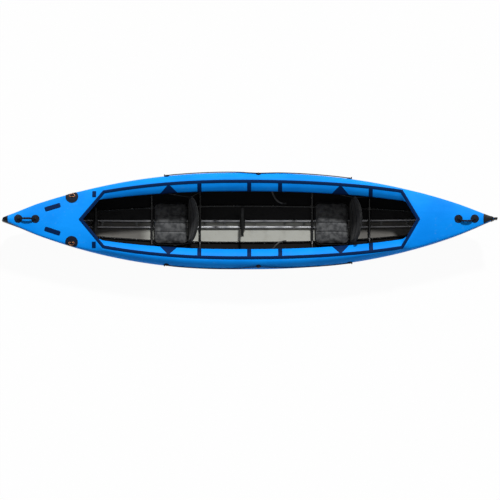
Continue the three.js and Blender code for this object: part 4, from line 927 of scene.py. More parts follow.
# %% [markdown]
# ## Finishes of rings, buttons and hoses
# The tow rings are bronze with a brown patina, the lock buttons bright steel, and the hoses
# black rubber with fine ribs round them. They are small, so a colour that varies a little and
# a touch of relief are enough.

# %% Rings, buttons and hoses
def bronze(place):
    patina = place.noise(60, 4).between(0.5, 0.7)
    return {
        "Base Color": (patina * 0.7).blend(rgb(160, 108, 76), rgb(70, 48, 38)),
        "Metallic": 1.0,
        "Roughness": 0.3 + patina * 0.25,
        "relief": (patina, 0.0002),
    }


def button_steel(place):
    return {
        "Base Color": place.noise(90).blend(rgb(190, 190, 192), rgb(160, 161, 164)),
        "Metallic": 1.0,
        "Roughness": 0.24 + place.noise(200) * 0.12,
        "relief": (place.noise(300), 0.0001),
    }


def hose_rubber(place):
    return {
        "Base Color": place.noise(40).blend(rgb(17, 18, 20), rgb(34, 35, 37)),
        "Roughness": 0.5 + place.noise(80) * 0.15,
        "relief": (place.along(STERNWARD).wave(0.004) * 0.6 + place.noise(150) * 0.4, 0.0004),
    }


bronze_finish = finish("bronze", bronze)
steel_finish = finish("button_steel", button_steel)
rubber_finish = finish("hose_rubber", hose_rubber)

# %% [markdown]
# ## The two skins
# Each skin is one piece of cloth pulled tight over the tubes. It could be a simulation, but
# a cloth that is under tension everywhere has no folds, so a grid through the boat's lines
# is closer to the truth. The hull is nearly flat between its tubes and bends over each of
# them; the side of the deck is round, because the air tube behind it pushes it out.
# A Solidify modifier gives both their thickness; on the hull it also gives the inner side
# materials of its own.

# %% Helper that lays out a skin
NOSE_ROWS = [(1.0, 0.006), (0.7, 0.004)]
SKIN_THICKNESS = 0.0024


def on_side(place, side):
    """The same place on the port side, for -1, or the starboard side, for 1."""
    return Vector((place.x, side * place.y, place.z))


def skin_rows(profile):
    """Profiles at every station, with a short round nose before the first and after the last."""
    rows = [profile(x) for x in stations]
    for end, row in [(BOW_END, rows[0]), (STERN_END, rows[-1])]:
        nose = []
        for narrow, reach in NOSE_ROWS:
            shift = Vector((-end["inboard"] * reach, 0, 0))
            nose.append([Vector((p.x, p.y * (1 - narrow), p.z)) + shift for p in row])
        rows = [*nose, *rows] if end is BOW_END else [*rows, *reversed(nose)]
    return rows


def skin(name, profile, *materials):
    rows = skin_rows(profile)
    columns = len(rows[0])
    points, faces = [], []
    for side in (1, -1):
        faces += grid_faces(len(rows), columns, start=len(points), flip=side < 0)
        points += [on_side(p, side) for row in rows for p in row]
    return add_mesh(name, points, faces, *materials)


def length_of(path):
    return sum((b - a).length for a, b in zip(path, path[1:]))


print("rows of a skin:", len(skin_rows(hull_profile)))

# %% [markdown]
# ## The body that carries a piece
# Every piece rides on a body, so that it moves as the frame does, and may stand for CAD
# nodes, which are then hidden. One helper does both.

# %% Deck skin
def carried(piece, body, slot_name, *nodes):
    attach(piece, body)
    if nodes:
        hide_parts(*nodes)
    return piece


deck = skin("deck_cloth", deck_profile, deck_finish)
deck_polygons = [polygon.vertices for polygon in deck.data.polygons]
deck_tree = BVHTree.FromPolygons([vertex.co for vertex in deck.data.vertices], deck_polygons)
welded(deck)
thickened(deck, SKIN_THICKNESS, -1)
carried(deck, "boat", "deck_cloth", "deck_skin")

# %% [markdown]
# ## Hull skin
# The hull is laid out as the deck is. Its columns next to the keel are the floor, whose inner
# side is the lining. Solidify moves the inner side on by two materials, so the list holds
# the outer finish twice and then the two inner ones.

# %% Hull skin
hull = skin("hull_cloth", hull_profile, hull_finish, hull_finish, lining_finish, inner_finish)
hull_columns = len(hull_profile(0))
for index, polygon in enumerate(hull.data.polygons):
    polygon.material_index = 0 if index % (hull_columns - 1) < FLOOR_COLUMNS else 1
welded(hull)
thickened(hull, SKIN_THICKNESS, -1, material_offset=2, material_offset_rim=0)
carried(hull, "boat", "hull_cloth", "hull_skin")

# %% [markdown]
# ## Seam between the skins
# The two skins are welded together along a thin round edging, from stem to stem. It is a tube
# along the lowest line of the deck, a hair outside it.

# %% Seam between the skins
SEAM_RADIUS, SEAM_PROUD = 0.0028, 0.0006


def seam_line(side):
    rows = skin_rows(deck_profile)
    return [Vector((row[0].x, side * (row[0].y + SEAM_PROUD), row[0].z)) for row in rows]


for side_name, side in SIDES.items():
    piping = tube(f"seam_piping_{side_name}", seam_line(side), SEAM_RADIUS, trim_finish, sides=8)
    carried(piping, "boat", "trim_cloth")
print("seam length:", round(length_of(seam_line(1)), 2))

# %% [markdown]
# ## Binding round the cockpit
# A navy strip is welded round the cockpit, with short straps that tie the band down to the
# tubes, a triangle at each anchor of a seat strap, and a tab at the front. They are grids on
# the deck's own profile, so that the straps can bend round the rim.

# %% Strip, ties and anchors
TIE_XS = [-0.431, 0.002, 0.271, 1.059]
TIE_HALF_WIDTH = 0.0175
ANCHOR_XS = [-0.699, 0.796]
ANCHOR_HALF_LENGTH, ANCHOR_TIP, ANCHOR_STEPS = 0.075, 0.010, 4
LIFT = 0.0004


def lifted(profile):
    """The profile raised square to the cloth by the little that keeps two layers apart."""
    points = []
    for i, point in enumerate(profile):
        ahead, behind = profile[min(i + 1, len(profile) - 1)], profile[max(i - 1, 0)]
        way = ahead - behind
        out = Vector((0, way.z, -way.y))
        out = out.normalized() if out.length > 1e-6 else Vector((0, 0, 1))
        points.append(point + LIFT * out)
    return points


def trim_on_deck(name, lines, side):
    """A grid of points on one side of the deck as a piece of trim."""
    points = [on_side(p, side) for line in lines for p in line]
    faces = grid_faces(len(lines), len(lines[0]), flip=side < 0)
    return welded(add_mesh(name, points, faces, trim_finish))


def strip_piece():
    inside = [x for x in stations if BOW_TIP_X <= x <= STERN_TIP_X]
    lines = [lifted(deck_profile(x))[OUTER_COLUMN:INNER_COLUMN + 1] for x in inside]
    halves = [trim_on_deck(f"strip_{side}", lines, side) for side in (1, -1)]
    return welded(joined("strip", halves))


def tie_piece(x, side):
    xs = [x + TIE_HALF_WIDTH * step for step in (-1, -0.5, 0, 0.5, 1)]
    return trim_on_deck("tie", [lifted(deck_profile(x))[INNER_COLUMN - 1:] for x in xs], side)


def anchor_piece(x, side):
    """A triangle that is widest at the lip and runs to a point on the strip."""
    base, tip = opening(x), strip_inner(x) + ANCHOR_TIP
    lines = []
    for step in range(-ANCHOR_STEPS, ANCHOR_STEPS + 1):
        line = []
        for column in range(INNER_COLUMN - 1, LAST_COLUMN + 1):
            narrow = clamp((tip - deck_profile(x)[column].y) / (tip - base))
            place = x + ANCHOR_HALF_LENGTH * narrow * step / ANCHOR_STEPS
            line.append(lifted(deck_profile(place))[column])
        lines.append(line)
    return trim_on_deck("anchor", lines, side)


print("a tie has", len(lifted(deck_profile(0))[INNER_COLUMN - 1:]), "points across")

# %% [markdown]
# ## Building the binding
# Each part is a thin sheet first. Solidify then gives it the thickness of the tape, and a
# small bevel the soft edge that catches the light.

# %% Build the binding
TRIM_THICKNESS, TRIM_BEVEL = 0.002, 0.0006

binding_parts = [strip_piece()]
for side in (1, -1):
    binding_parts += [tie_piece(x, side) for x in TIE_XS]
    binding_parts += [anchor_piece(x, side) for x in ANCHOR_XS]
binding_parts = [thickened(part, TRIM_THICKNESS, 1, bevel=TRIM_BEVEL) for part in binding_parts]
print("binding parts:", len(binding_parts))

# %% [markdown]
# ## Patches
# Pads and patches are welded flat on the deck, so they have to follow its curve. Rays are
# cast at the deck from a little way off, on a round or square pattern, and the hits make
# the patch. A thickness and a small bevel turn it into a piece with an edge.

# %% Rays at the deck
RAY_START = 0.08


def hit_deck(place, way):
    point, normal, _, _ = deck_tree.ray_cast(place - way * RAY_START, way)
    if point is None:
        point, normal, _, _ = deck_tree.find_nearest(place)
    return point + LIFT * (normal if normal.dot(way) < 0 else -normal)


def spot_on_deck(x, y):
    point, normal, _, _ = deck_tree.ray_cast(Vector((x, y, 1)), Vector((0, 0, -1)))
    return point, normal if normal.z > 0 else -normal


def spot_on_side(x, rise_share, side):
    """The place on the side of the deck at a share of the height from seam to top."""
    height = mix(seam(x), top(x), rise_share)
    line = deck_profile(x)[:OUTER_COLUMN + 1]
    k = next(i for i, p in enumerate(line) if p.z > height)
    low, high = line[k - 1], line[k]
    point = low.lerp(high, (height - low.z) / (high.z - low.z))
    way = high - low
    normal = Vector((0, way.z, -way.y)).normalized()
    return on_side(point, side), on_side(normal, side)


def spot_from_middle(x, reach, side):
    """The place on the foredeck at this distance from its middle line, measured on the cloth."""
    line = deck_profile(x)[OUTER_COLUMN::-1]
    for a, b in zip(line, line[1:]):
        step = (b - a).length
        if step > 0 and reach <= step:
            break
        reach -= step
    point, way = a.lerp(b, reach / step), b - a
    normal = Vector((0, -way.z, way.y)).normalized()
    return on_side(point, side), on_side(normal, side)


print("the foredeck is", round(spot_on_deck(BOW_TIP_X - 0.1, 0)[0].z, 3), "m high ahead of the cockpit")

# %% [markdown]
# ## Round and square patches
# A round patch is rings of points round a hub. On a nearly flat place each point is found by
# a ray. Over the edge of the foredeck a ray would miss the steep side, so there the points
# are measured off along the cloth instead. A square patch has corners cut round.

# %% Round and square patches
def disc_patch(name, lay, radius, rings, spokes, material, thickness, flip=True):
    """A round patch. lay says where the point at a reach and an angle from the hub lies."""
    points = []
    for ring in rings:
        points += [lay(radius * ring, 2 * math.pi * k / spokes) for k in range(spokes)]
    hub = tuple(range(spokes))
    faces = [*grid_faces(len(rings), spokes, wrap=True, flip=flip), hub if flip else hub[::-1]]
    return thickened(add_mesh(name, points, faces, material), thickness, 1, bevel=TRIM_BEVEL)


def laid_on(normal):
    """Unit vectors along and across a patch, with the first towards the stern."""
    along = (Vector((1, 0, 0)) - normal * normal.x).normalized()
    return along, normal.cross(along)


def round_patch(point, normal, radius):
    along, across = laid_on(normal)

    def lay(reach, angle):
        place = point + reach * (math.cos(angle) * along + math.sin(angle) * across)
        return hit_deck(place, -normal)

    rings = [0.02, 0.35, 0.68, 0.9, 1.0]
    return disc_patch("disc", lay, radius, rings, 32, patch_finish, TRIM_THICKNESS)


def wrapped_patch(x, y, side, radius, thickness):
    """A round patch that follows the cloth over the edge of the foredeck."""
    def lay(reach, angle):
        across = y + reach * math.sin(angle)
        place, normal = spot_from_middle(x + reach * math.cos(angle), across, side)
        return place + LIFT * normal

    rings = [0.02, 0.25, 0.45, 0.63, 0.78, 0.9, 1.0]
    return disc_patch("disc", lay, radius, rings, 40, patch_finish, thickness, flip=side > 0)


def square_patch(name, point, normal, length, width, angle, corner):
    along, across = laid_on(normal)
    turned = Matrix.Rotation(angle, 3, normal)
    along, across = turned @ along, turned @ across
    rows, columns = 13, 9
    points = []
    for i in range(rows):
        u = 2 * i / (rows - 1) - 1
        for j in range(columns):
            v = 2 * j / (columns - 1) - 1
            short = max(0.0, abs(u) * length / 2 - (length / 2 - corner)) / corner
            half = width / 2 - corner * (1 - math.sqrt(max(0.0, 1 - short ** 2)))
            points.append(hit_deck(point + along * (u * length / 2) + across * (v * half), -normal))
    sheet = add_mesh(name, points, grid_faces(rows, columns, flip=True), trim_finish)
    return thickened(sheet, TRIM_THICKNESS, 1, bevel=TRIM_BEVEL)


print("a patch stands", 1000 * TRIM_THICKNESS, "mm off the cloth")

# %% [markdown]
# ## Loop of webbing over a pin
# Rings, handles and ropes are all held the same way: a short strap is stitched to the pad,
# goes over the pin and is stitched down again. So one helper makes every loop, from the
# pin's height and radius, and another joins a pad and its loops into one piece.

# %% Loop of webbing over a pin
LOOP_THICKNESS, LOOP_TO_PIN = 0.0014, 0.0007
LOOP_FEET = [(0.011, 0.0032), (0.0035, 0.0034)]


def webbing_loop(point, normal, pin_height, pin_radius, width):
    """A short strap over a pin. Its feet are given by reach beyond the pin, and height."""
    across = laid_on(normal)[1]
    inner = pin_radius + LOOP_TO_PIN
    path = [point + across * (-inner - reach) + normal * height for reach, height in LOOP_FEET]
    for k in range(9):
        angle = math.pi * (1 - k / 8)
        height = pin_height + inner * math.sin(angle)
        path.append(point + across * (inner * math.cos(angle)) + normal * height)
    path += [point + across * (inner + reach) + normal * height for reach, height in LOOP_FEET[::-1]]
    middle = point + normal * pin_height
    outs = [normal, normal, *[(p - middle).normalized() for p in path[2:-2]], normal, normal]
    return ribbon("loop", path, outs, width, LOOP_THICKNESS, webbing_finish)


def clipped_together(name, parts, body, slot_name, *nodes):
    return carried(joined(name, parts), body, slot_name, *nodes)


def looped_pads(name, spots, pad_radius, pin_height, pin_radius, width):
    """Round pads at some spots on the deck, each with a loop over a pin, as one piece."""
    parts = []
    for point, normal in spots:
        parts.append(round_patch(point, normal, pad_radius))
        parts.append(webbing_loop(point, normal, pin_height, pin_radius, width))
    clipped_together(name, parts, "boat", "deck_cloth")


print("a loop of webbing is", 1000 * LOOP_THICKNESS, "mm thick")

# %% [markdown]
# ## Tabs, and the whole binding
# One short tab lies on each side of the strip's bow end. With them the binding is complete,
# and it becomes one piece, as it is one welded trim on the boat.

# %% Tabs, and the whole binding
TAB_X, TAB_Y = -1.345, 0.222
TAB_LENGTH, TAB_WIDTH, TAB_CORNER = 0.034, 0.056, 0.003

for side in (1, -1):
    point, normal = spot_on_deck(TAB_X, side * TAB_Y)
    binding_parts.append(square_patch("tab", point, normal, TAB_LENGTH, TAB_WIDTH, 0, TAB_CORNER))
binding = clipped_together("cockpit_binding", binding_parts, "boat", "trim_cloth", "cockpit_strip")
print("binding size:", tuple(round(v, 3) for v in binding.dimensions))

# %% [markdown]
# ## Gear patches and tow patches
# Two long patches on the foredeck hold gear, and they run beside its edges, so each is turned
# by the slope of the boat's side there. Behind them are two round tow pads, each with a
# thicker welt in the middle and a loop for its ring.

# %% Gear patches and tow patches
GEAR_X, GEAR_Y = -1.704, 0.104
GEAR_LENGTH, GEAR_WIDTH, GEAR_CORNER = 0.14, 0.04, 0.004
TOW_X, TOW_Y = -1.539, 0.2
TOW_DISC, TOW_WELT, TOW_WELT_THICKNESS = 0.055, 0.040, 0.0028
TOW_PIN_HEIGHT, TOW_WIRE_RADIUS, TOW_LOOP_WIDTH = 0.0056, 0.0025, 0.012

flare = math.atan((beam(GEAR_X + GEAR_LENGTH) - beam(GEAR_X - GEAR_LENGTH)) / (2 * GEAR_LENGTH))
for side_name, side in SIDES.items():
    point, normal = spot_on_deck(GEAR_X, side * GEAR_Y)
    patch = square_patch(f"gear_tape_{side_name}", point, normal, GEAR_LENGTH, GEAR_WIDTH,
                         side * flare, GEAR_CORNER)
    carried(patch, "boat", "trim_cloth", f"gear_patch_{side_name}")

    point, normal = spot_on_deck(TOW_X, side * TOW_Y)
    parts = [wrapped_patch(TOW_X, TOW_Y, side, TOW_DISC, TRIM_THICKNESS)]
    parts.append(wrapped_patch(TOW_X, TOW_Y, side, TOW_WELT, TOW_WELT_THICKNESS))
    parts.append(webbing_loop(point, normal, TOW_PIN_HEIGHT, TOW_WIRE_RADIUS, TOW_LOOP_WIDTH))
    clipped_together(f"tow_pad_{side_name}", parts, "boat", "patch_cloth", f"tow_patch_{side_name}")
print("patches laid at", tuple(round(v, 3) for v in point))

# %% [markdown]
# ## Tow rings
# Each tow ring is a D of bronze wire that turns in its loop. It rides on a body of its own,
# so that it swings while its loop and pad stay on the deck. Its place is read from the box
# of its CAD node, so the wire lies where the joint turns it.

# %% Tow rings
RING_RADIUS, RING_SETBACK = 0.024, 0.012
RING_BAR_RADIUS, RING_BAR_SETBACK = 0.0024, 0.001


def d_ring(name, node, side):
    """Half a circle of wire, closed by the straight bar that lies in the loop."""
    low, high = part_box(node)
    along, across = laid_on(spot_on_deck(TOW_X, side * TOW_Y)[1])
    middle = (Vector(low) + Vector(high)) / 2
    centre = middle - across * (side * RING_SETBACK)
    path = []
    for k in range(33):
        angle = math.pi * k / 32
        path.append(centre + RING_RADIUS * (math.cos(angle) * along + side * math.sin(angle) * across))
    start, end = (path[k] + across * (-side * RING_BAR_SETBACK) for k in (-1, 0))
    bar = [start.lerp(end, k / 6) for k in range(7)]
    parts = [tube("wire", path, TOW_WIRE_RADIUS, bronze_finish, sides=10)]
    parts.append(tube("wire", bar, RING_BAR_RADIUS, bronze_finish, sides=10))
    return joined(name, parts)


for side_name, side in SIDES.items():
    node_name = f"tow_ring_{side_name}"
    carried(d_ring(f"tow_wire_{side_name}", node_name, side), node_name, "bronze", node_name)
print("tow rings:", len(SIDES), "of", 2000 * RING_RADIUS, "mm")

# %% [markdown]
# ## Carrying handles
# A carrying handle is a bail of stiff cord in a sleeve, thicker where the hand takes it. Both
# its feet lie in loops on round pads. The handle at the bow stands up and the one at the
# stern has flopped to one side, so each is given with the angle that it leans.

# %% Carrying handles
HANDLES = {"bow_handle": (-1.998, -1.851, 0.0), "stern_handle": (1.816, 1.955, 62.0)}
PIN_HEIGHT, PIN_RADIUS, PIN_REACH = 0.0076, 0.005, 0.007
BAIL_RISE, BAIL_STEPS = 0.025, 24
SLEEVE_RADIUS, SLEEVE_SWELL, SWELL_SLOPE, SWELL_START = 0.0046, 0.0042, 3, 1.6
HANDLE_PAD, HANDLE_LOOP_WIDTH = 0.036, 0.016


def handle_pieces(name, front_x, rear_x, flop):
    front, rear = (spot_on_deck(x, 0)[0] for x in (front_x, rear_x))
    along = (rear - front).normalized()
    normal = Vector((-along.z, 0, along.x))
    across = normal.cross(along)
    middle = (front + rear) / 2
    half = (rear - front).length / 2
    tilt = math.radians(flop)
    up = math.cos(tilt) * normal - math.sin(tilt) * across
    path, radii = [middle - along * (half + PIN_REACH) + normal * PIN_HEIGHT], [SLEEVE_RADIUS]
    for k in range(BAIL_STEPS + 1):
        angle = math.pi * k / BAIL_STEPS
        foot = middle - along * ((half - PIN_REACH) * math.cos(angle)) + normal * PIN_HEIGHT
        path.append(foot + up * (BAIL_RISE * math.sin(angle)))
        radii.append(SLEEVE_RADIUS + SLEEVE_SWELL * clamp(math.sin(angle) * SWELL_SLOPE - SWELL_START))
    path.append(middle + along * (half + PIN_REACH) + normal * PIN_HEIGHT)
    grip = tube(f"{name}_sleeve", path, [*radii, SLEEVE_RADIUS], patch_finish, sides=14)
    carried(grip, name, "handle_tube", name)
    spots = [(front, normal), (rear, normal)]
    looped_pads(f"{name}_pads", spots, HANDLE_PAD, PIN_HEIGHT, PIN_RADIUS, HANDLE_LOOP_WIDTH)


for name, (front_x, rear_x, flop) in HANDLES.items():
    handle_pieces(name, front_x, rear_x, flop)
print("handles:", ", ".join(HANDLES))

# %% [markdown]
# ## Grab lines
# A rope runs along each side of the deck, threaded through loops on three pads, and ends
# in a stopper knot at both ends. It is one curve with a round bevel, which keeps its true
# length; the points lie on the side of the deck, a rope's radius and a loop's thickness off
# the cloth. A trefoil makes a knot that reads as a knot from every side.

# %% Rope
ROPE_RADIUS, ROPE_OFF_DECK = 0.004, 0.0066
GRAB_LINE = [
    (-0.716, 0.688), (-0.600, 0.658), (-0.300, 0.659), (-0.100, 0.716), (-0.020, 0.777), (0.082, 0.807),
    (0.160, 0.787), (0.300, 0.725), (0.500, 0.676), (0.700, 0.625), (0.874, 0.586),
]
GRAB_FIXINGS = [0, 5, 10]
ROPE_OVERHANG = Vector((0.016, 0, 0))
KNOT_SIZE, KNOT_STRAND, KNOT_STEPS = 0.0023, 0.0032, 48


def rope_route(side):
    """The rope's line over its loops, kept from sinking into the deck anywhere."""
    centres = []
    for x, share in GRAB_LINE:
        point, normal = spot_on_side(x, share, side)
        centres.append(point + normal * ROPE_OFF_DECK)
    smooth = smooth_through([centres[0] - ROPE_OVERHANG, *centres, centres[-1] + ROPE_OVERHANG], 4)
    for i, place in enumerate(smooth):
        nearest = deck_tree.find_nearest(place)[0]
        if (place - nearest).length < ROPE_OFF_DECK:
            smooth[i] = nearest + (place - nearest).normalized() * ROPE_OFF_DECK
    return smooth


def rope_curve(name, route):
    data = bpy.data.curves.new(name, "CURVE")
    data.dimensions = "3D"
    data.bevel_depth = ROPE_RADIUS
    data.bevel_resolution = 3
    data.use_fill_caps = True
    spline = data.splines.new("POLY")
    spline.points.add(len(route) - 1)
    for point, place in zip(spline.points, route):
        point.co = (*place, 1)
    data.materials.append(rope_finish)
    return added(name, data)


def stopper_knot(name, place):
    """A trefoil round the end of the rope."""
    path = []
    for k in range(KNOT_STEPS + 1):
        t = 2 * math.pi * k / KNOT_STEPS
        y, z = math.sin(t) + 2 * math.sin(2 * t), math.cos(t) - 2 * math.cos(2 * t)
        path.append(place + KNOT_SIZE * Vector((-math.sin(3 * t), y, z)))
    return tube(name, path, KNOT_STRAND, rope_finish, sides=10, capped=False)


print("the rope is", 2000 * ROPE_RADIUS, "mm thick and held in", len(GRAB_FIXINGS), "loops a side")

# %% [markdown]
# ## Ropes in their places
# Each rope is drawn with a knot at both ends, and its length is printed. The pads and loops
# are laid at three of the points that the rope's own line is given by, so they can't miss it.

# %% Rope on both sides, with its pads, loops and knots
KNOT_REACH = 0.004
GRAB_PAD, GRAB_LOOP_WIDTH = 0.022, 0.014

for side_name, side in SIDES.items():
    route = rope_route(side)
    rope = rope_curve(f"grab_rope_{side_name}", route)
    carried(rope, "boat", "rope", f"grab_line_{side_name}")
    for end_name, place, way in [("front", route[0], -1), ("rear", route[-1], 1)]:
        middle = place + Vector((way * KNOT_REACH, 0, 0))
        knot = stopper_knot(f"grab_knot_{side_name}_{end_name}", middle)
        carried(knot, "boat", "rope")
    length = length_of(route)
    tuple(route[0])
    spots = [spot_on_side(*GRAB_LINE[k], side) for k in GRAB_FIXINGS]
    looped_pads(f"grab_pads_{side_name}", spots, GRAB_PAD, ROPE_OFF_DECK, ROPE_RADIUS, GRAB_LOOP_WIDTH)
    print("rope", side_name, round(length, 3), "m")

# %% [markdown]
# ## Sponsons
# Along each side, behind the deck's round flank, lies a long air tube. Its outside follows
# the skins and its inside bulges towards the frame. It is a loft through sections that are
# drawn in towards both ends, where the tube is welded shut.

# %% Sponsons
SPONSON_INSET = 0.0062
GUNWALE_SETBACK, GUNWALE_RADIUS, SPONSON_ROOM = 0.0152, 0.0125, 0.021
SPONSON_INNER_SHARE = 0.8
SPONSON_BOW, SPONSON_STERN, SPONSON_MARGIN = -1.780, 1.800, 0.005
TAPER_LENGTH, BLUNT_END = 0.260, 0.03


def sponson_section(x):
    """Points round the air tube at a station."""
    outside = [*hull_corners(x)[3:], *smooth_through(deck_corners(x)[:4], 4)[1:]]
    outside = smooth_through(outside[:2], 3)[:-1] + outside[1:]
    inset = []
    for i, point in enumerate(outside):
        way = outside[min(i + 1, len(outside) - 1)] - outside[max(i - 1, 0)]
        inset.append(point - Vector((0, way.z, -way.y)).normalized() * SPONSON_INSET)
    high, low = inset[-1], inset[0]
    gunwale = GUNWALE_SHARE * beam(x) + GUNWALE_SETBACK
    inner = min(gunwale + GUNWALE_RADIUS + SPONSON_ROOM, SPONSON_INNER_SHARE * beam(x))
    bulge = Vector((x, 2 * inner - (high.y + low.y) / 2, (high.z + low.z) / 2))
    ring = [*inset, *[round_turn(high, bulge, low, k / 10) for k in range(1, 10)]]
    middle = sum(ring, Vector()) / len(ring)
    from_end = min(x - SPONSON_BOW, SPONSON_STERN - x) / TAPER_LENGTH
    taper = math.sqrt(clamp(from_end * (2 - from_end), BLUNT_END, 1)) if from_end < 1 else 1
    return [point.lerp(middle, 1 - taper) for point in ring]


def sponson(name, side):
    low, high = SPONSON_BOW + SPONSON_MARGIN, SPONSON_STERN - SPONSON_MARGIN
    points = [on_side(p, side) for x in stations if low < x < high for p in sponson_section(x)]
    return lofted(name, points, len(sponson_section(0)), sponson_finish, flip=side > 0)


for side_name, side in SIDES.items():
    piece = sponson(f"air_tube_{side_name}", side)
    carried(piece, "boat", "sponson_cloth", f"sponson_{side_name}")
print("sponson section has", len(sponson_section(0)), "points")

# %% [markdown]
# ## Keelson
# The ladder along the bottom is the brightest thing in the cockpit: two alloy tubes, with
# flat rungs across them, in three lengths. The tubes are drawn again here with enough sides
# to catch a clean highlight. The rungs stay below the tops of the tubes, because the
# footrests slide over them.

# %% Keelson
KEELSON_Y, KEELSON_RADIUS, KEELSON_OFF_HULL = 0.028, 0.011, 0.0027
KEELSONS = [
    ("keelson_front", -1.680, -0.3003, 5),
    ("keelson_middle", -0.3, 0.4, 3),
    ("keelson_rear", 0.4003, 1.700, 6),
]
TUBE_STEP = 0.05
RUNG_FROM_END, RUNG_DROP, RUNG_REACH = 0.085, 0.002, 0.0205
RUNG_HALVES, RUNG_DEPTHS, RUNG_SOFTNESS = (0.0095, 0.013), (0.003, 0.004), 0.4


def keelson_centre(x, side):
    chine = hull_corners(x)[1]
    rise = (chine.z - keel(x)) * (KEELSON_Y + KEELSON_RADIUS) / chine.y
    return Vector((x, side * KEELSON_Y, keel(x) + KEELSON_OFF_HULL + rise + KEELSON_RADIUS))


def rung(x):
    """A moulded bar between the tubes, waisted, with soft edges and wholly below their tops."""
    height = keelson_centre(x, 1).z - RUNG_DROP
    rows, sides = 11, 16
    points = []
    for k in range(rows):
        across = 2 * k / (rows - 1) - 1
        half, depth = (mix(*sizes, across ** 2) for sizes in (RUNG_HALVES, RUNG_DEPTHS))
        for n in range(sides):
            angle = 2 * math.pi * n / sides
            ways = math.cos(angle), math.sin(angle)
            u, v = (math.copysign(abs(way) ** RUNG_SOFTNESS, way) for way in ways)
            points.append(Vector((x + half * u, RUNG_REACH * across, height + depth * v)))
    return lofted("rung", points, sides, rung_finish, flip=False)


for name, from_x, to_x, count in KEELSONS:
    parts = []
    steps = max(2, round((to_x - from_x) / TUBE_STEP))
    for side in SIDES.values():
        route = [keelson_centre(mix(from_x, to_x, k / steps), side) for k in range(steps + 1)]
        parts.append(tube("tube", route, KEELSON_RADIUS, alloy_finish, sides=20))
    for k in range(count):
        parts.append(rung(mix(from_x + RUNG_FROM_END, to_x - RUNG_FROM_END, k / (count - 1))))
    clipped_together(f"{name}_ladder", parts, "boat", "tube_alloy", name)
print("keelson lengths:", [round(b - a, 2) for _, a, b, _ in KEELSONS])

# %% [markdown]
# ## Seat cushions
# A cushion is cloth over foam: full in the middle, drawn in between its corners and pinched
# where it is stitched through. It starts as a slightly small box with a grid on it, which
# is remeshed into even squares. Blender's Cloth then blows it up with a little pressure.
# The sewn channels are pressed in afterwards, because a remesh would erase them.

# %% Puff up a pad with cloth
SQUARE_SIZE, PRESSURE, CLOTH_FRAMES = 0.006, 4.0, 20


def puffed(piece, cap):
    """Swells a closed pad by cloth pressure, and holds each point within cap of its place."""
    remesh = piece.modifiers.new("even", "REMESH")
    remesh.mode = "VOXEL"
    remesh.voxel_size = SQUARE_SIZE
    baked(piece)
    rest = [v.co.copy() for v in piece.data.vertices]
    cloth = piece.modifiers.new("cloth", "CLOTH")
    cloth.settings.use_pressure = True
    cloth.settings.uniform_pressure_force = PRESSURE
    cloth.settings.effector_weights.gravity = 0
    for step in range(1, CLOTH_FRAMES + 1):
        bpy.context.scene.frame_set(step)
    baked(piece)
    bpy.context.scene.frame_set(1)
    for vertex, start in zip(piece.data.vertices, rest):
        move = vertex.co - start
        if move.length > cap:
            vertex.co = start + move.normalized() * cap
    fine = piece.modifiers.new("fine", "SUBSURF")
    fine.levels = 1
    baked(piece)
    for polygon in piece.data.polygons:
        polygon.use_smooth = True
    return piece


def pressed(piece, place, lines, depth, width, faces_up):
    """Sews channels: points near a line sink by depth. place reads the coordinate across them."""
    for vertex in piece.data.vertices:
        dent = sum(math.exp(-(((place(vertex.co) - line) / width) ** 2)) for line in lines)
        vertex.co -= faces_up(vertex.co) * (depth * dent)


print("a pad swells for", CLOTH_FRAMES, "frames")

# %% [markdown]
# ## The cushion's pattern
# Rows of points from front to rear draw a low box with round corners, a waist and a crown.
# It is drawn once, at the origin, and both seats get a copy. It starts a few millimetres
# small all round, so that it is its right size when it has swollen.

# %% Cushion
CUSHION_LENGTH, CUSHION_WIDTH = 0.305, 0.390
CUSHION_EDGE, CUSHION_CROWN = 0.036, 0.024
CUSHION_CORNER, CORNER_CUT, CUSHION_WAIST = 0.060, 0.8, 0.035
SEAT_FRONTS = {"front": -0.840, "rear": 0.577}
PADDING_START, FOOT_INSET, FOOT_HEIGHT = 0.004, 0.006, 0.0015
CUSHION_CAP, CUSHION_FOOT = 0.007, 0.0006
CUSHION_CHANNELS, CUSHION_DENT, CUSHION_DENT_WIDTH = [-0.0775, 0, 0.0775], 0.0062, 0.0065
DENTS_ABOVE, DENTS_FADE = 0.03, 0.012
SEAT_GAP = 0.0003


def cushion_half(along):
    """Half the cushion's width at a place from -1 at its front to 1 at its rear."""
    from_end = (1 - abs(along)) * CUSHION_LENGTH / 2
    short = max(0.0, CUSHION_CORNER - from_end)
    corner = CUSHION_CORNER - math.sqrt(CUSHION_CORNER ** 2 - short ** 2)
    return CUSHION_WIDTH / 2 * (1 - CUSHION_WAIST * (1 - along ** 2)) - corner * CORNER_CUT


def cushion_pad(name):
    """The pad on a floor at height 0, with its middle at the origin of X and Y."""
    points = []
    for i in range(25):
        along = -math.cos(math.pi * i / 24)
        half = cushion_half(along) - PADDING_START
        x = along * (CUSHION_LENGTH / 2 - PADDING_START)
        row = []
        for k in range(29):
            across = -math.cos(math.pi * k / 28)
            full = (1 - along ** 6) * (1 - across ** 6)
            row.append(Vector((x, half * across, CUSHION_EDGE + CUSHION_CROWN * full - PADDING_START)))
        for share in (1, 0.5, 0, -0.5, -1):
            row.append(Vector((x, (half - FOOT_INSET) * share, FOOT_HEIGHT)))
        points += row
    return puffed(lofted(name, points, len(row), seat_finish, flip=False), CUSHION_CAP)


def seat_floor(x):
    return keelson_centre(x, 1).z + KEELSON_RADIUS + SEAT_GAP


def out_of_cushion(point):
    """Straight up on the top of the cushion, and nothing at its foot."""
    return Vector((0, 0, clamp((point.z - DENTS_ABOVE) / DENTS_FADE)))


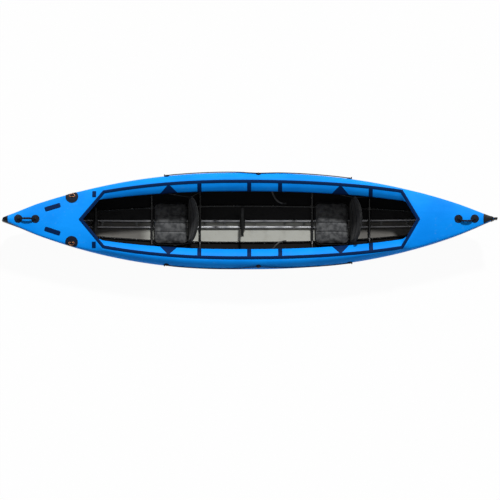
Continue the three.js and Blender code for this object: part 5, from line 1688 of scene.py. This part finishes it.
pad = cushion_pad("cushion_pattern")
pressed(pad, lambda p: p.y, CUSHION_CHANNELS, CUSHION_DENT, CUSHION_DENT_WIDTH, out_of_cushion)
for vertex in pad.data.vertices:
    vertex.co.z = max(vertex.co.z, CUSHION_FOOT)
print("cushion pad points:", len(pad.data.vertices))

# %% [markdown]
# ## Backrests
# The backrest is a tall pad that wraps forward at both sides and turns on its lower roll.
# It goes through the same steps as the cushion, with a smaller cap because it is thinner,
# and its channels run across it.

# %% Backrest
BACK_HEIGHT, BACK_WIDTH, BACK_WRAP = 0.345, 0.400, 0.042
BACK_DROP, FULL_WRAP_RISE = 0.2, 0.170
HINGE_RADIUS = 0.015
LEAN = math.radians(13)
BACK_START, BACK_PEAK, BACK_CAP = 0.0025, 0.004, 0.004
BACK_CHANNELS, BACK_DENT, BACK_DENT_WIDTH = [0.117, 0.228], 0.0045, 0.006


def smooth_step(share):
    return share ** 2 * (3 - 2 * share)


def wrap_at(across, rise):
    """How far forward the pad reaches, from nothing in its middle to the full wrap at its sides."""
    return BACK_WRAP * across ** 2 * smooth_step(clamp(rise / FULL_WRAP_RISE))


def back_height(across):
    return BACK_HEIGHT * (1 - BACK_DROP * abs(across) ** 4)


def back_point(across, depth, rise):
    """A point of the backrest from its place on the pad, with the hinge at the origin."""
    aft = depth - wrap_at(across, rise)
    return Vector((aft * math.cos(LEAN) + rise * math.sin(LEAN), BACK_WIDTH / 2 * across,
                   rise * math.cos(LEAN) - aft * math.sin(LEAN)))


def back_pad(name):
    points = []
    reach = HINGE_RADIUS - BACK_START
    for i in range(25):
        across = -math.cos(math.pi * i / 24) * (1 - 2 * BACK_START / BACK_WIDTH)
        height = back_height(across)
        half = []
        for k in range(17):
            share = k / 16
            edge = mix(1, 0.5, across ** 6 * smooth_step(min(1, 3 * share)))
            half.append((HINGE_RADIUS * edge * mix(1, 0.7, share) - BACK_START, height * share))
        turns = [math.pi * k / 8 for k in range(8)]
        roll = [(-reach * math.cos(turn), -reach * math.sin(turn)) for turn in turns]
        outline = [*roll, *half, (0, height + BACK_PEAK), *[(-d, r) for d, r in reversed(half[1:])]]
        points += [back_point(across, depth, rise) for depth, rise in outline]
    return puffed(lofted(name, points, len(outline), backrest_shaded_finish), BACK_CAP)


def rise_on_back(point):
    return point.x * math.sin(LEAN) + point.z * math.cos(LEAN)


def out_of_back(point):
    """The way out of the pad's nearer face, or nothing at its edges."""
    aft = point.x * math.cos(LEAN) - point.z * math.sin(LEAN)
    depth = aft + wrap_at(point.y / (BACK_WIDTH / 2), rise_on_back(point))
    return Vector((math.cos(LEAN), 0, -math.sin(LEAN))) * clamp(depth / BACK_DENT_WIDTH, -1, 1)


back = back_pad("back_pattern")
pressed(back, rise_on_back, BACK_CHANNELS, BACK_DENT, BACK_DENT_WIDTH, out_of_back)
print("backrest pad points:", len(back.data.vertices))

# %% [markdown]
# ## Piping
# The cloths of a pad are sewn together over a thin cord, which shows as a round line along
# the seam. On the cushion it is a closed ring, and on the backrest it runs up one side, over
# the top and down the other.

# %% Piping round the pads
PIPING_INSET, PIPING_SHARE, PIPING_LIFT = 0.0015, 0.994, 0.0035
SHORTEST_STEP = 0.001


def cushion_piping(name, height, radius):
    path = []
    for i in range(61):
        along = -math.cos(math.pi * i / 60)
        x = along * (CUSHION_LENGTH / 2 - PIPING_INSET)
        path.append(Vector((x, cushion_half(along) - PIPING_INSET, height)))
    path += [on_side(p, -1) for p in reversed(path[1:-1])]
    path = [path[k] for k in range(len(path)) if (path[k] - path[k - 1]).length > SHORTEST_STEP]
    return tube(name, [*path, path[0]], radius, webbing_finish, sides=8, capped=False)


def back_piping(name, radius):
    over_top = []
    for k in range(41):
        across = -math.cos(math.pi * (k / 40))
        over_top.append(back_point(across * PIPING_SHARE, 0, back_height(across) + PIPING_LIFT))
    heights = [BACK_HEIGHT * (1 - BACK_DROP) * (1 - k / 12) for k in range(1, 13)]
    down = [back_point(PIPING_SHARE, 0, height) for height in heights]
    path = [*[on_side(p, -1) for p in reversed(down)], *over_top, *down]
    return tube(name, path, radius, webbing_finish, sides=8)


print("the cushion is", round(2 * cushion_half(0), 3), "m wide at its waist")

# %% [markdown]
# ## Seats in their places
# Each seat is a copy of both pads, set down on the keelson where its CAD node is. The
# backrest turns on its lower roll, which lies in two loops of webbing that come out from
# under the cushion. The loops stay with the boat and the backrest rides on its own body.

# %% Hinge loops, and the seats in their places
HINGE_LOOP_YS, HINGE_LOOP_WIDTH, HINGE_LOOP_OFF = (-0.12, 0.12), 0.030, 0.0014
HINGE_TAIL_XS, HINGE_TAIL_Z, HINGE_LOOP_TURN = (-0.040, -0.020), -0.0166, (-95, 35)
STRAP_THICKNESS = 0.0016
HINGE_GAP, HINGE_ABOVE_EDGE = 0.0003, 0.014
CUSHION_PIPING, CUSHION_PIPING_DROP, BACK_PIPING = 0.0026, 0.003, 0.0024


def hinge_loop(y):
    path = [Vector((x, y, HINGE_TAIL_Z)) for x in HINGE_TAIL_XS]
    outs = [Vector(UP)] * 2
    for k in range(11):
        angle = math.radians(mix(*HINGE_LOOP_TURN, k / 10))
        out = Vector((math.cos(angle), 0, math.sin(angle)))
        path.append(Vector((0, y, 0)) + out * (HINGE_RADIUS + HINGE_LOOP_OFF))
        outs.append(-out)
    return ribbon("loop", path, outs, HINGE_LOOP_WIDTH, STRAP_THICKNESS, webbing_finish)


def moved(piece, place):
    piece.data.transform(Matrix.Translation(place))
    return piece


hinges = {}
for seat, front_x in SEAT_FRONTS.items():
    rear_x = front_x + CUSHION_LENGTH
    floor_z = max(seat_floor(front_x), seat_floor(rear_x))
    centre = Vector(((front_x + rear_x) / 2, 0, floor_z))
    hinge = Vector((rear_x + HINGE_GAP + HINGE_RADIUS, 0, floor_z + CUSHION_EDGE + HINGE_ABOVE_EDGE))
    hinges[seat] = hinge

    cushion = moved(added(f"{seat}_cushion_pad", pad.data.copy()), centre)
    piping = cushion_piping(f"{seat}_cushion_piping", CUSHION_EDGE - CUSHION_PIPING_DROP, CUSHION_PIPING)
    loops = joined(f"{seat}_hinge_loops", [hinge_loop(y) for y in HINGE_LOOP_YS])
    backrest = moved(added(f"{seat}_backrest_pad", back.data.copy()), hinge)
    edge = back_piping(f"{seat}_backrest_piping", BACK_PIPING)

    carried(cushion, "boat", "seat_cloth", f"{seat}_seat_cushion")
    carried(moved(piping, centre), "boat", "webbing")
    carried(moved(loops, hinge), "boat", "webbing")
    carried(backrest, f"{seat}_backrest", "seat_cloth", f"{seat}_seat_backrest")
    carried(moved(edge, hinge), f"{seat}_backrest", "webbing")
    print(seat, "hinge at", tuple(round(v, 4) for v in hinge))
bpy.data.objects.remove(pad)
bpy.data.objects.remove(back)

# %% [markdown]
# ## Seat straps
# Webbing holds each backrest up. A strap runs from an anchor on the rim to the side of the
# backrest, and a thinner one runs on to a tie on the rim behind it.

# %% Straps
STRAP_ENDS = {"front": (-0.699, -0.431), "rear": (0.796, 1.059)}
STRAP_INSIDE_LIP, STRAP_OFF_BACK, STRAP_HEIGHT_SHARE = 0.0054, 0.0013, 0.6
STRAP, BACK_STRAP = {"width": 0.025, "sag": 0.006}, {"width": 0.018, "sag": 0.008}
BUCKLE_SHARE, BUCKLE_DROP, BUCKLE_HALF = 0.3, 0.005, 0.016
BAR_SHIFTS, BAR_RADIUS = (-0.012, 0, 0.012), 0.0022
RAIL_SHIFTS, RAIL_RADIUS = (-0.013, -0.005, 0.005, 0.013), 0.0024


def lip_place(x, side):
    y = opening(x) - STRAP_INSIDE_LIP
    return Vector((x, side * y, band_height(x, opening(x)) - LIP_DEPTH))


def strap_piece(name, start, end, side, width, sag):
    path = []
    for k in range(17):
        t = k / 16
        path.append(start.lerp(end, t) - Vector((0, 0, sag * 4 * t * (1 - t))))
    outs = [Vector((0, side, 0))] * len(path)
    return ribbon(name, path, outs, width, STRAP_THICKNESS, webbing_finish)


def buckle(place, way):
    """A flat ladder buckle that lies on the strap: three bars between two rails."""
    across = (Vector(UP) - way * way.z).normalized()
    parts = []
    for shift in BAR_SHIFTS:
        path = [place + way * shift + across * (BUCKLE_HALF * u) for u in (-1, -0.5, 0, 0.5, 1)]
        parts.append(tube("bar", path, BAR_RADIUS, plastic_finish, sides=8))
    for u in (-1, 1):
        path = [place + way * shift + across * (BUCKLE_HALF * u) for shift in RAIL_SHIFTS]
        parts.append(tube("bar", path, RAIL_RADIUS, plastic_finish, sides=8))
    return parts


for seat, (anchor_x, tie_x) in STRAP_ENDS.items():
    high = hinges[seat] + back_point(1, 0, BACK_HEIGHT * STRAP_HEIGHT_SHARE)
    for side_name, side in SIDES.items():
        held = Vector((high.x, side * (BACK_WIDTH / 2 + STRAP_OFF_BACK), high.z))
        anchor, tie = lip_place(anchor_x, side), lip_place(tie_x, side)
        fore = strap_piece(f"{seat}_strap_{side_name}", anchor, held, side, **STRAP)
        aft = strap_piece(f"{seat}_back_strap_{side_name}", held, tie, side, **BACK_STRAP)
        place = anchor.lerp(held, BUCKLE_SHARE) - Vector((0, 0, BUCKLE_DROP))
        clip = joined(f"{seat}_buckle_{side_name}", buckle(place, (held - anchor).normalized()))
        ends = [(fore, anchor, "webbing"), (aft, tie, "webbing"), (clip, anchor, "black_plastic")]
        for piece, start, slot_name in ends:
            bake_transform(piece)
            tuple(start)
        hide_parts(f"{seat}_seat_strap_{side_name}")
        print(seat, side_name, "strap", round((held - anchor).length, 3))

# %% [markdown]
# ## Inflation hoses
# A short hose leaves each air tube through a flange, drops to the floor and ends in a cap.
# It follows the same route as its solid, on a smooth curve.

# %% Hoses
HOSE_X, HOSE_RADIUS = 0.200, 0.008
HOSE_REACH, HOSE_INWARD, HOSE_FALL = 0.110, 0.130, 0.072
HOSE_SHARES = [(0, 0, 0), (0.02, 0.3, 0.06), (0.3, 0.72, 0.86), (0.68, 0.96, 0.98), (1, 1, 1)]
HOSE_IN_CAP, COLLAR_LENGTH = Vector((0.014, 0, 0)), Vector((0.016, 0, 0))
FLANGE_THICKNESS = 0.004
FLANGE = [(0, 0.024), (0.4, 0.024), (0.8, 0.021), (1, 0.012)]
COLLAR = [(0, 0.0085), (0.1, 0.011), (0.85, 0.011), (1, 0.0095)]

cap_low, cap_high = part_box("hose_cap_starboard")
wall_y = (cap_low[1] + cap_high[1]) / 2 + HOSE_INWARD
wall_z = (cap_low[2] + cap_high[2]) / 2 + HOSE_FALL


def hose_route(side):
    """From the wall of the air tube to the cap, by shares of its three reaches."""
    route = []
    for forward, inward, drop in HOSE_SHARES:
        y = wall_y - HOSE_INWARD * inward
        route.append(Vector((HOSE_X + HOSE_REACH * forward, side * y, wall_z - HOSE_FALL * drop)))
    return route


def turned_disc(start, end, radii, material):
    """A round fitting along a line, from shares of its length and its radius there."""
    path = [start.lerp(end, share) for share, _ in radii]
    return tube("fitting", path, [radius for _, radius in radii], material, sides=28)


for side_name, side in SIDES.items():
    route = hose_route(side)
    wall, tip = route[0], route[-1]
    inward = Vector((0, -side, 0))
    path = [*smooth_through(route, 6), tip + HOSE_IN_CAP]
    parts = [tube("hose", path, HOSE_RADIUS, rubber_finish, sides=18)]
    parts.append(turned_disc(wall, wall + inward * FLANGE_THICKNESS, FLANGE, rubber_finish))
    parts.append(turned_disc(tip - COLLAR_LENGTH, tip, COLLAR, plastic_finish))
    clipped_together(f"air_hose_{side_name}", parts, "boat", "hose_rubber", f"inflation_hose_{side_name}")
    print(side_name, "hose leaves its air tube at", tuple(round(v, 4) for v in wall))

# %% [markdown]
# ## Finishes on the CAD parts that stay
# Tubes, plates, clips and footrests have their true shape in the frame, so they keep it and
# only get their finish.

# %% Dress the CAD nodes
def dress(material, *names):
    for name in names:
        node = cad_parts[name]
        if node.material_slots:
            for place in node.material_slots:
                place.material = material
        else:
            node.data.materials.append(material)


halves = [f"{half}_{side_name}" for half in ("bow", "stern") for side_name in SIDES]
tubes = [f"{kind}_{half}" for kind in ("chine_stringer", "side_stringer", "gunwale") for half in halves]
frames = [f"cross_frame_{k}" for k in range(1, len(FRAME_XS) + 1)]
buttons = [f"lock_button_{end}_{side_name}" for end in ("front", "rear") for side_name in SIDES]
dress(alloy_finish, "bow_deck_bar", "stern_deck_bar")
dress(coated_finish, *tubes, *frames)
dress(plastic_finish, "rudder_bracket", "bow_stem", "stern_stem", "front_footrest", "rear_footrest",
      "hose_cap_port", "hose_cap_starboard")
dress(steel_finish, *buttons)
print("dressed:", len(tubes), "long tubes,", len(frames), "cross-frames,", len(buttons), "buttons and 9 more")

# %% [markdown]
# ## Floor
# The floor is plain and white to the camera, and keeps a faint shadow. To the rays that
# light the boat it is a matt grey, so that it doesn't glow up at the hull. A Light Path node
# tells the two kinds of ray apart.

# %% Floor
WHITE = (1, 1, 1, 1)
FLOOR_GREY = (0.8, 0.8, 0.8, 1)
FLOOR_REACH, FLOOR_LEVEL, FLOOR_WHITENESS = 40, -0.001, 0.96


def seen_by_camera(start):
    """1 for a ray that the camera sees, straight, in a reflection or through a surface."""
    rays = [start.node("LightPath", out=f"Is {kind} Ray") for kind in ("Camera", "Glossy", "Transmission")]
    return start.math("MAXIMUM", start.math("MAXIMUM", rays[0], rays[1]), rays[2])


def white_floor():
    material = bpy.data.materials.new("floor")
    start = blank(material)
    matt = start.node("BsdfDiffuse", {}, {"Color": FLOOR_GREY})
    bright = start.node("Emission", {}, {"Color": WHITE, "Strength": 1.0})
    both = start.node("MixShader", {}, {0: seen_by_camera(start) * FLOOR_WHITENESS, 1: matt, 2: bright})
    start.node("OutputMaterial", {}, {"Surface": both})
    return material


corners = [(x * FLOOR_REACH, y * FLOOR_REACH, FLOOR_LEVEL) for x, y in [(-1, -1), (1, -1), (1, 1), (-1, 1)]]
floor = add_mesh("floor", corners, [(0, 1, 2, 3)], white_floor(), smooth=False)
print("floor:", 2 * FLOOR_REACH, "m wide")

# %% [markdown]
# ## Sun and sky
# The light is a low sun from starboard, which leaves the far half of the cockpit's floor in
# shade, with an even sky that fills the rest. Together they light a level surface at the
# strength at which its colour renders as it is written. The camera itself sees white.

# %% Sun and sky
SUN_SLOPE, SUN_LEAN, SUN_WIDTH = 0.92, 0.2, 5
SKY = 0.22

sun_data = bpy.data.lights.new("sun", "SUN")
sun_data.energy = (1 - SKY) * math.pi * math.hypot(1, SUN_SLOPE, SUN_LEAN)
sun_data.angle = math.radians(SUN_WIDTH)
sun = added("sun", sun_data)
sun.rotation_euler = Vector((SUN_LEAN, SUN_SLOPE, 1)).to_track_quat("Z", "Y").to_euler()

world = bpy.data.worlds.new("sky")
bpy.context.scene.world = world
sky = blank(world)
even = sky.node("Background", {}, {"Color": WHITE, "Strength": SKY})
white = sky.node("Background", {}, {"Color": WHITE, "Strength": 1.0})
both = sky.node("MixShader", {}, {0: seen_by_camera(sky), 1: even, 2: white})
sky.node("OutputWorld", {}, {"Surface": both})
print("sun energy:", round(sun_data.energy, 2))

# %% [markdown]
